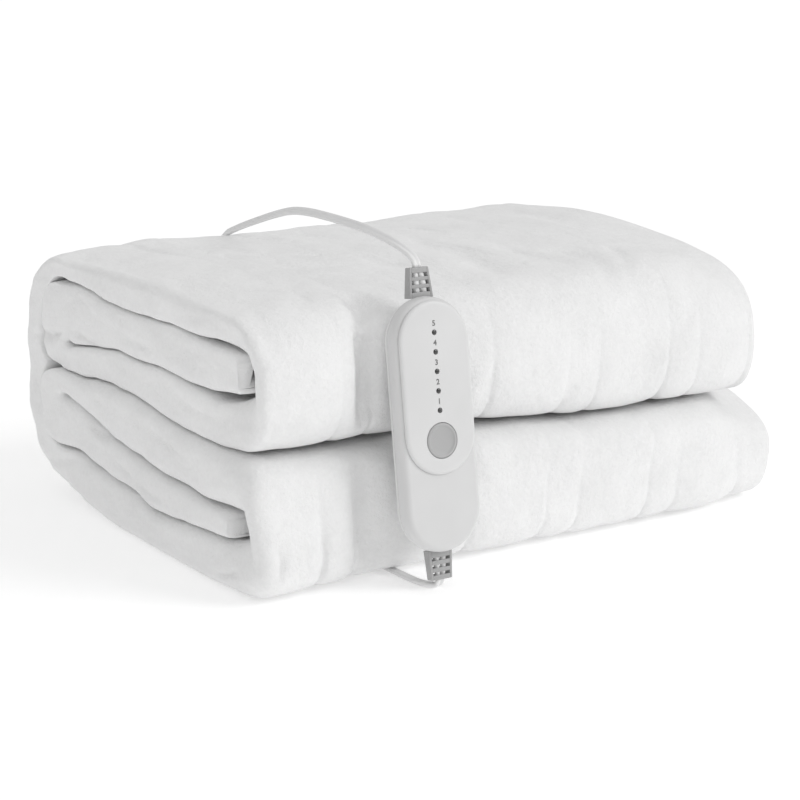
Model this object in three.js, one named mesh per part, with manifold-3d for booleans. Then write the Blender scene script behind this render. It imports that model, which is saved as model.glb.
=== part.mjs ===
// Heated mattress pad, folded into a stack of six runs, with its hand controller and flat lead.
// Millimetres, +Z up, X along the long front, +Y to the back. The pad is one strip, closed along
// its left edge and open along its right one, laid back and forth and wrapped by its top run.
import * as THREE from 'three';
import { mergeVertices } from 'three/addons/utils/BufferGeometryUtils.js';
import Module from 'manifold-3d';

const wasm = await Module();
wasm.setup();

// Places of the part's origin and of the stack's left front corner
const STACK_LEFT_X = -192;
const STACK_FRONT_Y = -135;

// Depths, counted from the stack's front, at which the level table gives its heights
const DEPTHS = [19, 45, 110, 175, 240];

// Levels between the runs at those depths: the height of each gap's middle and its opening
const LEVELS = [
  { name: 'underside', height: [0, 0, 0, 0, 8], opening: [0, 0, 0, 0, 0] },
  { name: 'six_five', height: [30, 29, 28, 32.5, 37], opening: [2.4, 1.6, 1.2, 1.2, 1.6] },
  { name: 'five_four', height: [48, 47.5, 50.5, 58, 71], opening: [6.5, 3.6, 1.4, 1.4, 2.6] },
  { name: 'four_three', height: [81, 81, 85.5, 90, 87], opening: [1.4, 1.3, 1.2, 1.2, 1.4] },
  { name: 'three_two', height: [113.4, 110.5, 111.9, 112.2, 104.8], opening: [3, 6, 1.8, 1.4, 3] },
  { name: 'two_one', height: [140, 141.4, 143.6, 144.8, 145.6], opening: [5, 4.2, 2.4, 3.4, 5.6] },
  { name: 'top', height: [160, 163, 166, 166, 163.5], opening: [0, 0, 0, 0, 0] },
];

// The strip from its upper free end to its lower one. A run lies between two levels and heads to
// the back (+1) or the front (-1). A turn bulges to reach on its outside and leaves its inner wall
// at wall, both as depths; the squareness of its two halves is that of a superellipse.
const STRIP = [
  { kind: 'run', low: 'three_two', high: 'two_one', heading: 1, steps: 6, from: 19, to: 240, show: 0 },
  { kind: 'turn', reach: 279, wall: 248, first: 2.3, second: 2.3, steps: 8, show: 0, recess: 0 },
  { kind: 'run', low: 'four_three', high: 'three_two', heading: -1, steps: 5, from: 240, to: 45, show: 0 },
  { kind: 'turn', reach: -12, wall: 10, first: 2.8, second: 3, steps: 12, show: 1, recess: 13 },
  { kind: 'run', low: 'two_one', high: 'top', heading: 1, steps: 8, from: 45, to: 240, show: 1 },
  { kind: 'spine', reach: 312, wall: 284.5, first: 3, second: 2.7, steps: 14, show: 1, recess: 0 },
  { kind: 'run', low: 'underside', high: 'six_five', heading: -1, steps: 6, from: 240, to: 45, show: 0 },
  { kind: 'turn', reach: -8, wall: 15, first: 4.6, second: 1.5, steps: 12, show: 1, recess: 13 },
  { kind: 'run', low: 'five_four', high: 'four_three', heading: 1, steps: 5, from: 45, to: 240, show: 0 },
  { kind: 'turn', reach: 275.5, wall: 249, first: 2.3, second: 2.3, steps: 8, show: 0, recess: 0 },
  { kind: 'run', low: 'six_five', high: 'five_four', heading: -1, steps: 6, from: 240, to: 26, show: 0 },
];

const SPINE = STRIP.findIndex((piece) => piece.kind === 'spine');

// Across the strip: its two ends, the slit between its two plies, and the sewn channels, which are
// pairs of seams on an even pitch. Below, the bundle is folded a little askew of the upper one.
const RIGHT_END = { upper: 364, lower: 386 };
const LEFT_EDGE = { start: 6, nearFace: 0.6, nearMiddle: -1.5, middle: -2, below: -2 };
const HEM = { round: 1.6, length: 2.2, thinning: 0.55, outerPly: 0.25, innerPly: 0.75 };
const SLIT = { start: 16, half: 0.7, roundEnd: 2, shareOfRecess: 0.4, places: [0.79, 0.54, 0.28] };
const INNER_PLACES = [1, 0.74, 0.48, 0.22];
const INNER_SQUARENESS = 2.6;
const SEAMS = { first: 53, pitch: 80, channel: 24.5, pairs: 4, last: 359, skew: -13 };
const SEAM = { depth: 2.4, halfWidth: 5, shoulder: 0.12, hem: 0.1 };
const PANEL_PUFF = 1.3;
const FIRST_PANEL = [{ along: 0.36, puff: 0.7 }, { along: 0.68, puff: 0.9 }];
const WIDE_CHANNEL = { along: 0.72, puff: 0.9 };

// Groove under the pad that the pad's own lead lies in, and how far back it runs
const GROOVE = { left: 88, right: 97.5, wall: 0.6, roof: 3.8, end: 226, puff: 0.75 };

// Unevenness: the stack's right end stands higher, the fronts swell and sink in places, the top
// is wavy, and the middle opening sags at the right end
const RIGHT_RISE = 0.075;
const RISE_FROM_Z = 80;
const SWELLS = [
  { x: 30, z: 118, wide: 42, high: 30, forward: 4.5 },
  { x: 102, z: 116, wide: 40, high: 34, forward: -6.4 },
  { x: 186, z: 128, wide: 44, high: 26, forward: 2 },
  { x: 262, z: 112, wide: 46, high: 34, forward: -2.5 },
  { x: 12, z: 14, wide: 44, high: 34, forward: 9 },
  { x: 150, z: 30, wide: 44, high: 22, forward: 2.5 },
  { x: 255, z: 42, wide: 40, high: 26, forward: 3 },
  { x: 372, z: 60, wide: 30, high: 60, forward: -8 },
  { x: 392, z: 0, wide: 28, high: 26, forward: -8 },
  { x: 378, z: 168, wide: 60, high: 40, forward: -16 },
];
const SWELL_DEPTH = 70;
const TOP_WAVES = [
  { x: 45, y: 120, wide: 46, deep: 120, up: 2 },
  { x: 118, y: 70, wide: 34, deep: 110, up: -3.5 },
  { x: 190, y: 210, wide: 60, deep: 120, up: -1.5 },
  { x: 285, y: 120, wide: 50, deep: 110, up: 1.5 },
  { x: 385, y: 0, wide: 70, deep: 70, up: -14 },
];
const RIGHT_SAG = { x: 385, z: 80, wide: 28, high: 26, down: 9 };

// Hand controller: body, raised upper panel, push button and lamps, measured from its foot
const CONTROLLER = { foot: [101, -35.65, 22], lean: 8.6, roll: 0.4, length: 145, width: 51 };
const BODY_RINGS = [
  { depth: -9, inset: 4 }, { depth: -7.6, inset: 1.6 }, { depth: -5, inset: 0.4 }, { depth: -1.5, inset: 0 },
  { depth: 4.5, inset: 0.3 }, { depth: 6.6, inset: 1 }, { depth: 7.8, inset: 2.4 },
];
const PANEL_RINGS = [{ depth: 8.1, inset: 2.3 }, { depth: 9.2, inset: 2.5 }, { depth: 9.8, inset: 3.3 }];
const PANEL_FOOT = 42.4;
const BUTTON = { up: 64, radius: 10, clearance: 0.45, floor: 4.4, spare: 0.5, travel: 0.8, top: 10.3 };
const BUTTON_DISH = [
  { radius: 10, down: 0.6 }, { radius: 9.4, down: 0 }, { radius: 8.5, down: 0 }, { radius: 7.7, down: 0.7 },
  { radius: 5, down: 0.95 }, { radius: 0, down: 1.1 },
];
const LAMPS = { count: 5, first: 81, pitch: 10.95, radius: 1.25, hole: 1.6 };
const LAMP_HEIGHTS = { floor: 8.8, bottom: 9.1, top: 9.85 };
const CLEAR_OF_FACE = 20;
const RELIEF = { length: 16, gap: 0.3, wide: 15, narrow: 11.5, thick: 6, thin: 5, corner: 1.3, depth: -3.3 };
const SLOTS = { count: 3, pitch: 4, width: 9.4, height: 2.1, depth: 1.2, follow: 0.12 };

// Flat twin lead. The route's points are places from the stack's left front corner.
const LEAD = { wide: 5.6, thick: 2.8, sides: 8, flat: 0.6, gap: 0.3 };
const MAINS_ROUTE = [
  [102.13, -8.2, 181.45], [102.2, -7.5, 183.9], [102.4, -4.4, 186.3], [102.8, 2.4, 187.8], [103.6, 14, 189],
  [106.5, 41, 192], [111, 76, 193.8], [115, 106, 194.3], [119.8, 144, 193.6], [123.2, 170, 190.4],
  [128.4, 211, 182.4], [133.4, 255, 172], [137.6, 288, 161.5], [140.4, 303, 152], [142.2, 312.5, 138],
  [143, 317, 118], [143, 318.4, 70], [142.8, 319.6, 32], [142.6, 324, 13], [142.5, 331, 4.6],
  [142.5, 341, 1.6], [142.5, 355.45, 1.6],
];
const PAD_LEAD_ROUTE = [
  [100.88, -34.9, 4.8], [100.7, -34.9, 3.2], [99.2, -33.2, 1.9], [96.4, -29.4, 1.6], [94.2, -23, 1.6],
  [93.6, -14, 1.6], [93.6, -4, 1.6], [93.4, 8, 1.6], [92.8, 24, 1.6], [92.8, 60, 1.6], [92.8, 140, 1.6],
  [92.8, 220, 1.6],
];
const LEAD_STEPS = { mains: 78, pad: 40 };

// Coil of the length that is put away, on the ground close behind the stack, and its plug
const COIL = { x: 183.2, y: 372, inner: 23, outer: 41, height: 10.4, round: 2.4, sides: 32 };
const PLUG = { x: 239.1, y: 398, length: 34, width: 36, height: 17, bevel: 1.5, tail: 0.22, waist: 0.1 };
const PINS = { count: 2, span: 19, length: 19, radius: 2 };

const COLOURS = {
  cloth: 0xf1f1f2, shell: 0xe4e5e8, panel: 0xe9eaec, button: 0xb4b5b8, relief: 0x96979a,
  lamp: 0x45464a, lead: 0xe9e9ea, plug: 0xe6e6e8, pin: 0xb9bbbf,
};

const material = (colour, roughness, metalness = 0) =>
  new THREE.MeshStandardMaterial({ color: colour, roughness, metalness });

const part = new THREE.Group();
const stack = new THREE.Group();
stack.position.set(STACK_LEFT_X, STACK_FRONT_Y, 0);
part.add(stack);

function addMesh(group, name, geometry, finish) {
  const mesh = new THREE.Mesh(geometry, finish);
  mesh.name = name;
  group.add(mesh);
  return mesh;
}

const smooth = (t) => {
  const u = Math.min(Math.max(t, 0), 1);
  return u * u * (3 - 2 * u);
};
const bell = (t) => Math.exp(-t * t);

// A closed body from rings of points that all have the same count, with both ends filled as they
// lie in the plane that flat gives
function bodyFromRings(rings, flat) {
  const size = rings[0].length;
  const index = [];
  for (let i = 0; i + 1 < rings.length; i++) {
    for (let j = 0; j < size; j++) {
      const a = i * size + j;
      const b = i * size + (j + 1) % size;
      index.push(a, b, a + size, b, b + size, a + size);
    }
  }
  const last = (rings.length - 1) * size;
  for (const [a, b, c] of fillRing(rings[0].map(flat))) index.push(a, c, b);
  for (const [a, b, c] of fillRing(rings.at(-1).map(flat))) index.push(last + a, last + b, last + c);
  const geometry = new THREE.BufferGeometry();
  geometry.setAttribute('position', new THREE.Float32BufferAttribute(rings.flat(2), 3));
  geometry.setIndex(signedVolume(rings.flat(), index) < 0 ? index.reverse() : index);
  return geometry;
}

// Volume inside a closed body, negative where its faces point in
function signedVolume(points, index) {
  let volume = 0;
  const [a, b, c] = [new THREE.Vector3(), new THREE.Vector3(), new THREE.Vector3()];
  for (let i = 0; i < index.length; i += 3) {
    a.set(...points[index[i]]);
    b.set(...points[index[i + 1]]);
    c.set(...points[index[i + 2]]);
    volume += a.dot(b.cross(c)) / 6;
  }
  return volume;
}

// Triangles that fill a flat ring, given as [x, y] pairs, wound the way the ring runs
function fillRing(outline) {
  const points = outline.map(([x, y]) => new THREE.Vector2(x, y));
  const clockwise = THREE.ShapeUtils.isClockWise(points);
  const triangles = THREE.ShapeUtils.triangulateShape(points, []);
  return triangles.map(([a, b, c]) => {
    const same = THREE.ShapeUtils.isClockWise([points[a], points[b], points[c]]) === clockwise;
    return same ? [a, b, c] : [a, c, b];
  });
}

// Value of a level's column at a depth, on a smooth curve through the table's five values
function atDepth(column, depth) {
  let i = 0;
  while (i < DEPTHS.length - 2 && depth > DEPTHS[i + 1]) i++;
  const t = (depth - DEPTHS[i]) / (DEPTHS[i + 1] - DEPTHS[i]);
  const before = column[Math.max(i - 1, 0)];
  const after = column[Math.min(i + 2, column.length - 1)];
  const m0 = (column[i + 1] - before) / 2;
  const m1 = (after - column[i]) / 2;
  return (2 * t ** 3 - 3 * t ** 2 + 1) * column[i] + (t ** 3 - 2 * t ** 2 + t) * m0
    + (3 * t ** 2 - 2 * t ** 3) * column[i + 1] + (t ** 3 - t ** 2) * m1;
}

function levelEdge(name, depth, side) {
  const level = LEVELS.find((row) => row.name === name);
  const height = Math.max(atDepth(level.height, depth), 0);
  return height + side * Math.max(atDepth(level.opening, depth), level.opening[1] > 0 ? 1 : 0) / 2;
}

// Both faces of a run at a depth: outer is the face that lies outside in every turn
function runFaces(run, depth) {
  const top = [depth, levelEdge(run.high, depth, -1)];
  const bottom = [depth, levelEdge(run.low, depth, 1)];
  return run.heading > 0 ? { outer: top, inner: bottom } : { outer: bottom, inner: top };
}

// A point on a turn's outer or inner face, between the faces of the runs that it joins
function turnPoint(start, end, reach, squareness, angle) {
  const middle = (start[1] + end[1]) / 2;
  const half = (end[1] - start[1]) / 2;
  const power = 2 / squareness;
  const depth = start[0] + (reach - start[0]) * Math.cos(angle) ** power;
  return [depth, middle + half * Math.sign(Math.sin(angle)) * Math.abs(Math.sin(angle)) ** power];
}

// Stations along the strip: the two faces' points and what varies from one station to the next
function stripStations() {
  const stations = [];
  STRIP.forEach((piece, number) => {
    const lower = number > SPINE ? 1 : 0;
    if (piece.kind === 'run') {
      for (let i = 0; i <= piece.steps; i++) {
        const depth = piece.from + (piece.to - piece.from) * i / piece.steps;
        stations.push({ ...runFaces(piece, depth), show: piece.show, recess: 0, lower });
      }
      return;
    }
    const before = STRIP[number - 1];
    const after = STRIP[number + 1];
    const start = runFaces(before, before.to);
    const end = runFaces(after, after.from);
    for (let i = 1; i < piece.steps; i++) {
      const t = i / piece.steps;
      const angle = (t - 0.5) * Math.PI;
      const squareness = t < 0.5 ? piece.first : piece.second;
      stations.push({
        outer: turnPoint(start.outer, end.outer, piece.reach, squareness, angle),
        inner: turnPoint(start.inner, end.inner, piece.wall, INNER_SQUARENESS, angle),
        show: piece.show,
        recess: piece.recess * Math.cos(angle) ** 2,
        lower: number === SPINE ? smooth(t) : lower,
      });
    }
  });
  return stations;
}

// Places across the strip on its outer face, with how deep each lies in a seam (+) or how far
// it swells (-)
function outerPlaces(lower, rightEnd) {
  const shift = SEAMS.skew * lower;
  const seams = [];
  for (let i = 0; i < SEAMS.pairs; i++) {
    const seam = SEAMS.first + shift + i * SEAMS.pitch;
    seams.push(seam, seam + SEAMS.channel);
  }
  seams.push(SEAMS.last);
  const between = (from, to, { along, puff }) => ({ x: from + along * (to - from), seam: 0, puff });
  const places = [{ x: LEFT_EDGE.start, seam: 0, puff: 0 }];
  places.push(...FIRST_PANEL.map((row) => between(LEFT_EDGE.start, seams[0], row)));
  seams.forEach((seam, i) => {
    places.push({ x: seam - SEAM.halfWidth, seam: SEAM.shoulder, puff: 0 }, { x: seam, seam: 1, puff: 0 });
    if (i === seams.length - 1) return;
    places.push({ x: seam + SEAM.halfWidth, seam: SEAM.shoulder, puff: 0 });
    if (i === 1) {
      const { left, right, wall, puff } = GROOVE;
      places.push({ x: left, groove: 0, seam: 0, puff }, { x: left + wall, groove: 1, seam: 0, puff });
      places.push({ x: right - wall, groove: 1, seam: 0, puff }, { x: right, groove: 0, seam: 0, puff });
    }
    if (i % 2 === 1) places.push(between(seam, seams[i + 1], WIDE_CHANNEL));
  });
  places.push({ x: rightEnd - HEM.round, seam: SEAM.hem, puff: 0 });
  return places;
}

// How the stack departs from an even one: the same soft warp moves every point of it
function warp([x, y, z]) {
  let depth = y;
  let height = z;
  const frontness = 1 - smooth(y / SWELL_DEPTH);
  for (const swell of SWELLS) {
    const near = bell((x - swell.x) / swell.wide) * bell((z - swell.z) / swell.high);
    depth -= swell.forward * frontness * near;
  }
  const above = Math.max(z - RISE_FROM_Z, 0);
  height += above * RIGHT_RISE * smooth(x / RIGHT_END.upper);
  for (const wave of TOP_WAVES) {
    const near = bell((x - wave.x) / wave.wide) * bell((y - wave.y) / wave.deep);
    height += wave.up * (above / RISE_FROM_Z) * near;
  }
  const sag = RIGHT_SAG;
  height -= sag.down * bell((x - sag.x) / sag.wide) * bell((z - sag.z) / sag.high);
  return [x, depth, height];
}

// One closed outline across the strip at a station, as a U of two plies joined at the left
function stripOutline(station, hem) {
  const { outer, inner, recess, lower, show } = station;
  const across = [inner[0] - outer[0], inner[1] - outer[1]];
  const thickness = Math.hypot(...across);
  const rightEnd = RIGHT_END.upper + (RIGHT_END.lower - RIGHT_END.upper) * lower;
  const slit = SLIT.half / thickness;
  const thinned = (f) => {
    const middle = f < 0.5 ? HEM.outerPly : HEM.innerPly;
    return hem ? middle + (f - middle) * HEM.thinning : f;
  };
  const at = (x, f) => {
    const share = thinned(f);
    return warp([x, outer[0] + across[0] * share, outer[1] + across[1] * share]);
  };
  const outline = [];
  for (const place of outerPlaces(lower, rightEnd)) {
    const inset = show * (SEAM.depth * place.seam - PANEL_PUFF * place.puff);
    const point = at(place.x, inset / thickness);
    point[2] = Math.max(point[2], 0);
    const overGround = outer[1] < GROOVE.roof && inner[1] > outer[1] && lower === 1;
    if (place.groove && overGround && outer[0] < GROOVE.end) point[2] = GROOVE.roof;
    outline.push(point);
  }
  const hemStart = rightEnd - HEM.round;
  const slitEnd = SLIT.start + SLIT.shareOfRecess * recess;
  const slitPlaces = [hemStart, ...SLIT.places.map((share) => share * rightEnd), slitEnd + SLIT.roundEnd];
  outline.push(at(rightEnd, 0.12), at(rightEnd, 0.4));
  outline.push(...slitPlaces.map((x) => at(x, 0.5 - slit)));
  outline.push(at(slitEnd, 0.5));
  outline.push(...slitPlaces.reverse().map((x) => at(x, 0.5 + slit)));
  outline.push(at(rightEnd, 0.6), at(rightEnd, 0.88));
  outline.push(...INNER_PLACES.map((share) => at(share * hemStart, 1)));
  outline.push(at(LEFT_EDGE.start + recess, 1));
  const { nearFace, nearMiddle, middle, below } = LEFT_EDGE;
  const leftEdge = [[0.9, nearFace], [0.7, nearMiddle], [0.5, middle], [0.3, nearMiddle], [0.1, nearFace]];
  outline.push(...leftEdge.map(([f, x]) => at(x + below * lower + recess * f * f, f)));
  return outline;
}

function padGeometry() {
  const stations = stripStations();
  const first = { ...stations[0], outer: [...stations[0].outer], inner: [...stations[0].inner] };
  const end = stations.at(-1);
  const last = { ...end, outer: [...end.outer], inner: [...end.inner] };
  for (const hem of [first, last]) {
    hem.outer[0] -= HEM.length;
    hem.inner[0] -= HEM.length;
  }
  const rings = [stripOutline(first, true)];
  rings.push(...stations.map((station) => stripOutline(station, false)));
  rings.push(stripOutline(last, true));
  return bodyFromRings(rings, ([x, , z]) => [x, z]);
}

// A stadium outline with round ends, from low to high along y, drawn inwards by inset
function stadium(low, high, width, inset, arcSteps = 14) {
  const radius = width / 2 - inset;
  const points = [];
  for (const [centre, start] of [[high - width / 2, 0], [low + width / 2, Math.PI]]) {
    for (let i = 0; i <= arcSteps; i++) {
      const angle = start + Math.PI * i / arcSteps;
      points.push([radius * Math.cos(angle), centre + radius * Math.sin(angle)]);
    }
  }
  return points;
}

function stadiumBody(low, high, width, levels) {
  const rings = levels.map(({ depth, inset }) => {
    const outline = stadium(low, high, width, inset);
    return outline.map(([x, y]) => [x, y, depth]);
  });
  return bodyFromRings(rings, ([x, y]) => [x, y]);
}

// A round bar along z, from a profile of radius and height that starts and ends on the axis
function turned(profile, sides, x, y) {
  const points = profile.map(([r, z]) => new THREE.Vector2(r, z));
  const geometry = new THREE.LatheGeometry(points, sides);
  geometry.rotateX(Math.PI / 2);
  geometry.translate(x, y, 0);
  return geometry;
}

function bar(radius, low, high, sides, x, y) {
  return turned([[0, low], [radius, low], [radius, high], [0, high]], sides, x, y);
}

function toSolid(geometry) {
  const bare = geometry.clone();
  bare.deleteAttribute('normal');
  bare.deleteAttribute('uv');
  const merged = mergeVertices(bare, 1e-4);
  return new wasm.Manifold(new wasm.Mesh({
    numProp: 3,
    vertProperties: Float32Array.from(merged.attributes.position.array),
    triVerts: Uint32Array.from(merged.index.array),
  }));
}

function toGeometry(solid) {
  const mesh = solid.getMesh();
  const geometry = new THREE.BufferGeometry();
  geometry.setAttribute('position', new THREE.BufferAttribute(Float32Array.from(mesh.vertProperties), 3));
  geometry.setIndex(Array.from(mesh.triVerts));
  return geometry;
}

function cut(geometry, tools) {
  const solid = tools.reduce((left, tool) => left.subtract(toSolid(tool)), toSolid(geometry));
  return toGeometry(solid);
}

// Strain relief: a flat taper away from the body, with slots cut across its front and back
function reliefGeometry(start, direction) {
  const { length, wide, narrow, thick, thin, corner, depth } = RELIEF;
  const rings = [];
  for (const t of [0, 1]) {
    const halfWide = (wide + (narrow - wide) * t) / 2;
    const halfThick = (thick + (thin - thick) * t) / 2;
    const ring = [
      [halfWide, halfThick - corner], [halfWide - corner, halfThick], [corner - halfWide, halfThick],
      [-halfWide, halfThick - corner], [-halfWide, corner - halfThick], [corner - halfWide, -halfThick],
      [halfWide - corner, -halfThick], [halfWide, corner - halfThick],
    ];
    rings.push(ring.map(([x, z]) => [x, start + direction * length * t, depth + z]));
  }
  const body = bodyFromRings(rings, ([x, , z]) => [x, z]);
  const slots = [];
  for (let i = 0; i < SLOTS.count; i++) {
    const y = start + direction * SLOTS.pitch * (i + 1);
    for (const side of [-1, 1]) {
      const slot = new THREE.BoxGeometry(SLOTS.width, SLOTS.height, 2 * SLOTS.depth);
      slot.translate(0, y, depth + side * (thick / 2 - SLOTS.follow * i));
      slots.push(slot);
    }
  }
  return cut(body, slots);
}

// A flat lead: an eight-sided section with round edges along a smooth curve, its wide side level
// where it ends, on the ground
function leadGeometry(route, steps) {
  const curve = new THREE.CatmullRomCurve3(route.map((p) => new THREE.Vector3(...p)), false, 'centripetal');
  const { normals, binormals } = curve.computeFrenetFrames(steps, false);
  const turn = Math.atan2(binormals[steps].x, normals[steps].x);
  const section = [];
  for (let i = 0; i < LEAD.sides; i++) {
    const angle = (i + 0.5) * 2 * Math.PI / LEAD.sides;
    const [wide, thick] = [Math.cos(angle), Math.sin(angle)];
    const point = new THREE.Vector2(
      Math.sign(wide) * Math.abs(wide) ** LEAD.flat * LEAD.wide / 2,
      Math.sign(thick) * Math.abs(thick) ** LEAD.flat * LEAD.thick / 2,
    );
    section.push(point.rotateAround(new THREE.Vector2(), turn));
  }
  const shape = new THREE.Shape(section);
  return new THREE.ExtrudeGeometry(shape, { steps, extrudePath: curve, bevelEnabled: false });
}

// Ring of the coiled length, with its edges rounded off
function coilGeometry() {
  const { inner, outer, height, round, sides } = COIL;
  const profile = [
    [inner + round, 0], [outer - round, 0], [outer, round], [outer, height - round],
    [outer - round, height], [inner + round, height], [inner, height - round], [inner, round],
    [inner + round, 0],
  ];
  const geometry = new THREE.LatheGeometry(profile.map(([r, z]) => new THREE.Vector2(r, z)), sides);
  geometry.rotateX(Math.PI / 2);
  return geometry;
}

function buildPad() {
  addMesh(stack, 'pad', padGeometry(), material(COLOURS.cloth, 0.95));
}

function buildController() {
  const group = new THREE.Group();
  group.position.set(...CONTROLLER.foot);
  group.rotation.set((90 - CONTROLLER.lean) * Math.PI / 180, 0, -CONTROLLER.roll * Math.PI / 180);
  stack.add(group);
  const { length, width } = CONTROLLER;
  const hole = bar(BUTTON.radius + BUTTON.clearance, BUTTON.floor, CLEAR_OF_FACE, 40, 0, BUTTON.up);
  const body = cut(stadiumBody(0, length, width, BODY_RINGS), [hole]);
  addMesh(group, 'controller_body', body, material(COLOURS.shell, 0.45));
  const lampPlaces = Array.from({ length: LAMPS.count }, (_, i) => LAMPS.first + i * LAMPS.pitch);
  const lampHoles = lampPlaces.map((up) => bar(LAMPS.hole, LAMP_HEIGHTS.floor, CLEAR_OF_FACE, 14, 0, up));
  const panel = cut(stadiumBody(PANEL_FOOT, length, width, PANEL_RINGS), [hole, ...lampHoles]);
  addMesh(group, 'controller_panel', panel, material(COLOURS.panel, 0.4));
  const bottom = BUTTON.floor + BUTTON.travel + BUTTON.spare;
  const profile = [[0, bottom], [BUTTON.radius, bottom]];
  profile.push(...BUTTON_DISH.map(({ radius, down }) => [radius, BUTTON.top - down]));
  addMesh(group, 'button', turned(profile, 40, 0, BUTTON.up), material(COLOURS.button, 0.4));
  lampPlaces.forEach((up, i) => {
    const lamp = bar(LAMPS.radius, LAMP_HEIGHTS.bottom, LAMP_HEIGHTS.top, 12, 0, up);
    addMesh(group, `lamp_${i + 1}`, lamp, material(COLOURS.lamp, 0.3));
  });
  addMesh(group, 'relief_top', reliefGeometry(length + RELIEF.gap, 1), material(COLOURS.relief, 0.55));
  addMesh(group, 'relief_bottom', reliefGeometry(-RELIEF.gap, -1), material(COLOURS.relief, 0.55));
}

function buildLeads() {
  const mains = leadGeometry(MAINS_ROUTE, LEAD_STEPS.mains);
  addMesh(stack, 'mains_lead', mains, material(COLOURS.lead, 0.5));
  addMesh(stack, 'pad_lead', leadGeometry(PAD_LEAD_ROUTE, LEAD_STEPS.pad), material(COLOURS.lead, 0.5));
  const coil = addMesh(stack, 'mains_coil', coilGeometry(), material(COLOURS.lead, 0.5));
  coil.position.set(COIL.x, COIL.y, 0);
}

function buildPlug() {
  const group = new THREE.Group();
  group.position.set(PLUG.x, PLUG.y, 0);
  stack.add(group);
  const { length, width, height, bevel, tail, waist } = PLUG;
  const outline = new THREE.Shape();
  outline.moveTo(-length / 2, -width * tail);
  outline.quadraticCurveTo(-length * waist, -width / 2, length / 2, -width / 2);
  outline.lineTo(length / 2, width / 2);
  outline.quadraticCurveTo(-length * waist, width / 2, -length / 2, width * tail);
  outline.closePath();
  const body = new THREE.ExtrudeGeometry(outline, {
    depth: height - 2 * bevel, bevelThickness: bevel, bevelSize: bevel, bevelSegments: 2, curveSegments: 8,
  });
  body.translate(0, 0, bevel);
  addMesh(group, 'plug_body', body, material(COLOURS.plug, 0.5));
  for (let i = 0; i < PINS.count; i++) {
    const pin = bar(PINS.radius, 0, PINS.length, 12, 0, 0);
    pin.rotateY(Math.PI / 2);
    pin.translate(length / 2 + bevel + LEAD.gap, (i - 0.5) * PINS.span, height / 2);
    addMesh(group, `plug_pin_${i + 1}`, pin, material(COLOURS.pin, 0.3, 1));
  }
}

buildPad();
buildController();
buildLeads();
buildPlug();

export default part;
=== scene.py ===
import math

import bmesh
import bpy
import numpy as np
from mathutils import Matrix, Vector, noise


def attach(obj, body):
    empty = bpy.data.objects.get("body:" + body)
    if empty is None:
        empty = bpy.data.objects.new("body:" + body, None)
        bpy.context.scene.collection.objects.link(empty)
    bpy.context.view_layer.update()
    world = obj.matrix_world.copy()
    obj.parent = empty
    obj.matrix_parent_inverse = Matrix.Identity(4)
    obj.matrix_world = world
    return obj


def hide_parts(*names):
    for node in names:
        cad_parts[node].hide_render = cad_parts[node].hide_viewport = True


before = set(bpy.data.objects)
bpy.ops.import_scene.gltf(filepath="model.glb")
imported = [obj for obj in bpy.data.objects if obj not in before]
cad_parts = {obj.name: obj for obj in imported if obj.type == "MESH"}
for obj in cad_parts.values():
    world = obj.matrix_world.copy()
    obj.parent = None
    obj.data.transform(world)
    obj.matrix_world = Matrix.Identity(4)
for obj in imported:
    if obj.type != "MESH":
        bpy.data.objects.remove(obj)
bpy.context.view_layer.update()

MM = 0.001
STACK_ORIGIN = np.array([-192.0, -135.0, 0.0])


def to_frame(points):
    """Points in the stack's own millimetres, moved to the row frame in metres."""
    return (np.asarray(points, float) + STACK_ORIGIN) * MM


def smooth(t):
    t = np.clip(t, 0.0, 1.0)
    return t * t * (3.0 - 2.0 * t)


def bell(t):
    return np.exp(-np.square(t))


# ---------------------------------------------------------------- camera

CAMERA_PLACE = [-508.9, -933.2, 362.3]
CAMERA_ELEVATION = 13.09
CAMERA_AZIMUTH = -32.97

camera_data = bpy.data.cameras.new("camera")
camera = bpy.data.objects.new("camera", camera_data)
bpy.context.scene.collection.objects.link(camera)
camera.location = to_frame(CAMERA_PLACE)
camera.rotation_euler = (math.radians(90 - CAMERA_ELEVATION), 0, math.radians(CAMERA_AZIMUTH))
camera_data.lens = 90
camera_data.sensor_width = 36
camera_data.clip_start = 0.05
camera_data.clip_end = 100
bpy.context.scene.camera = camera


# ---------------------------------------------------------------- materials

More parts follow.
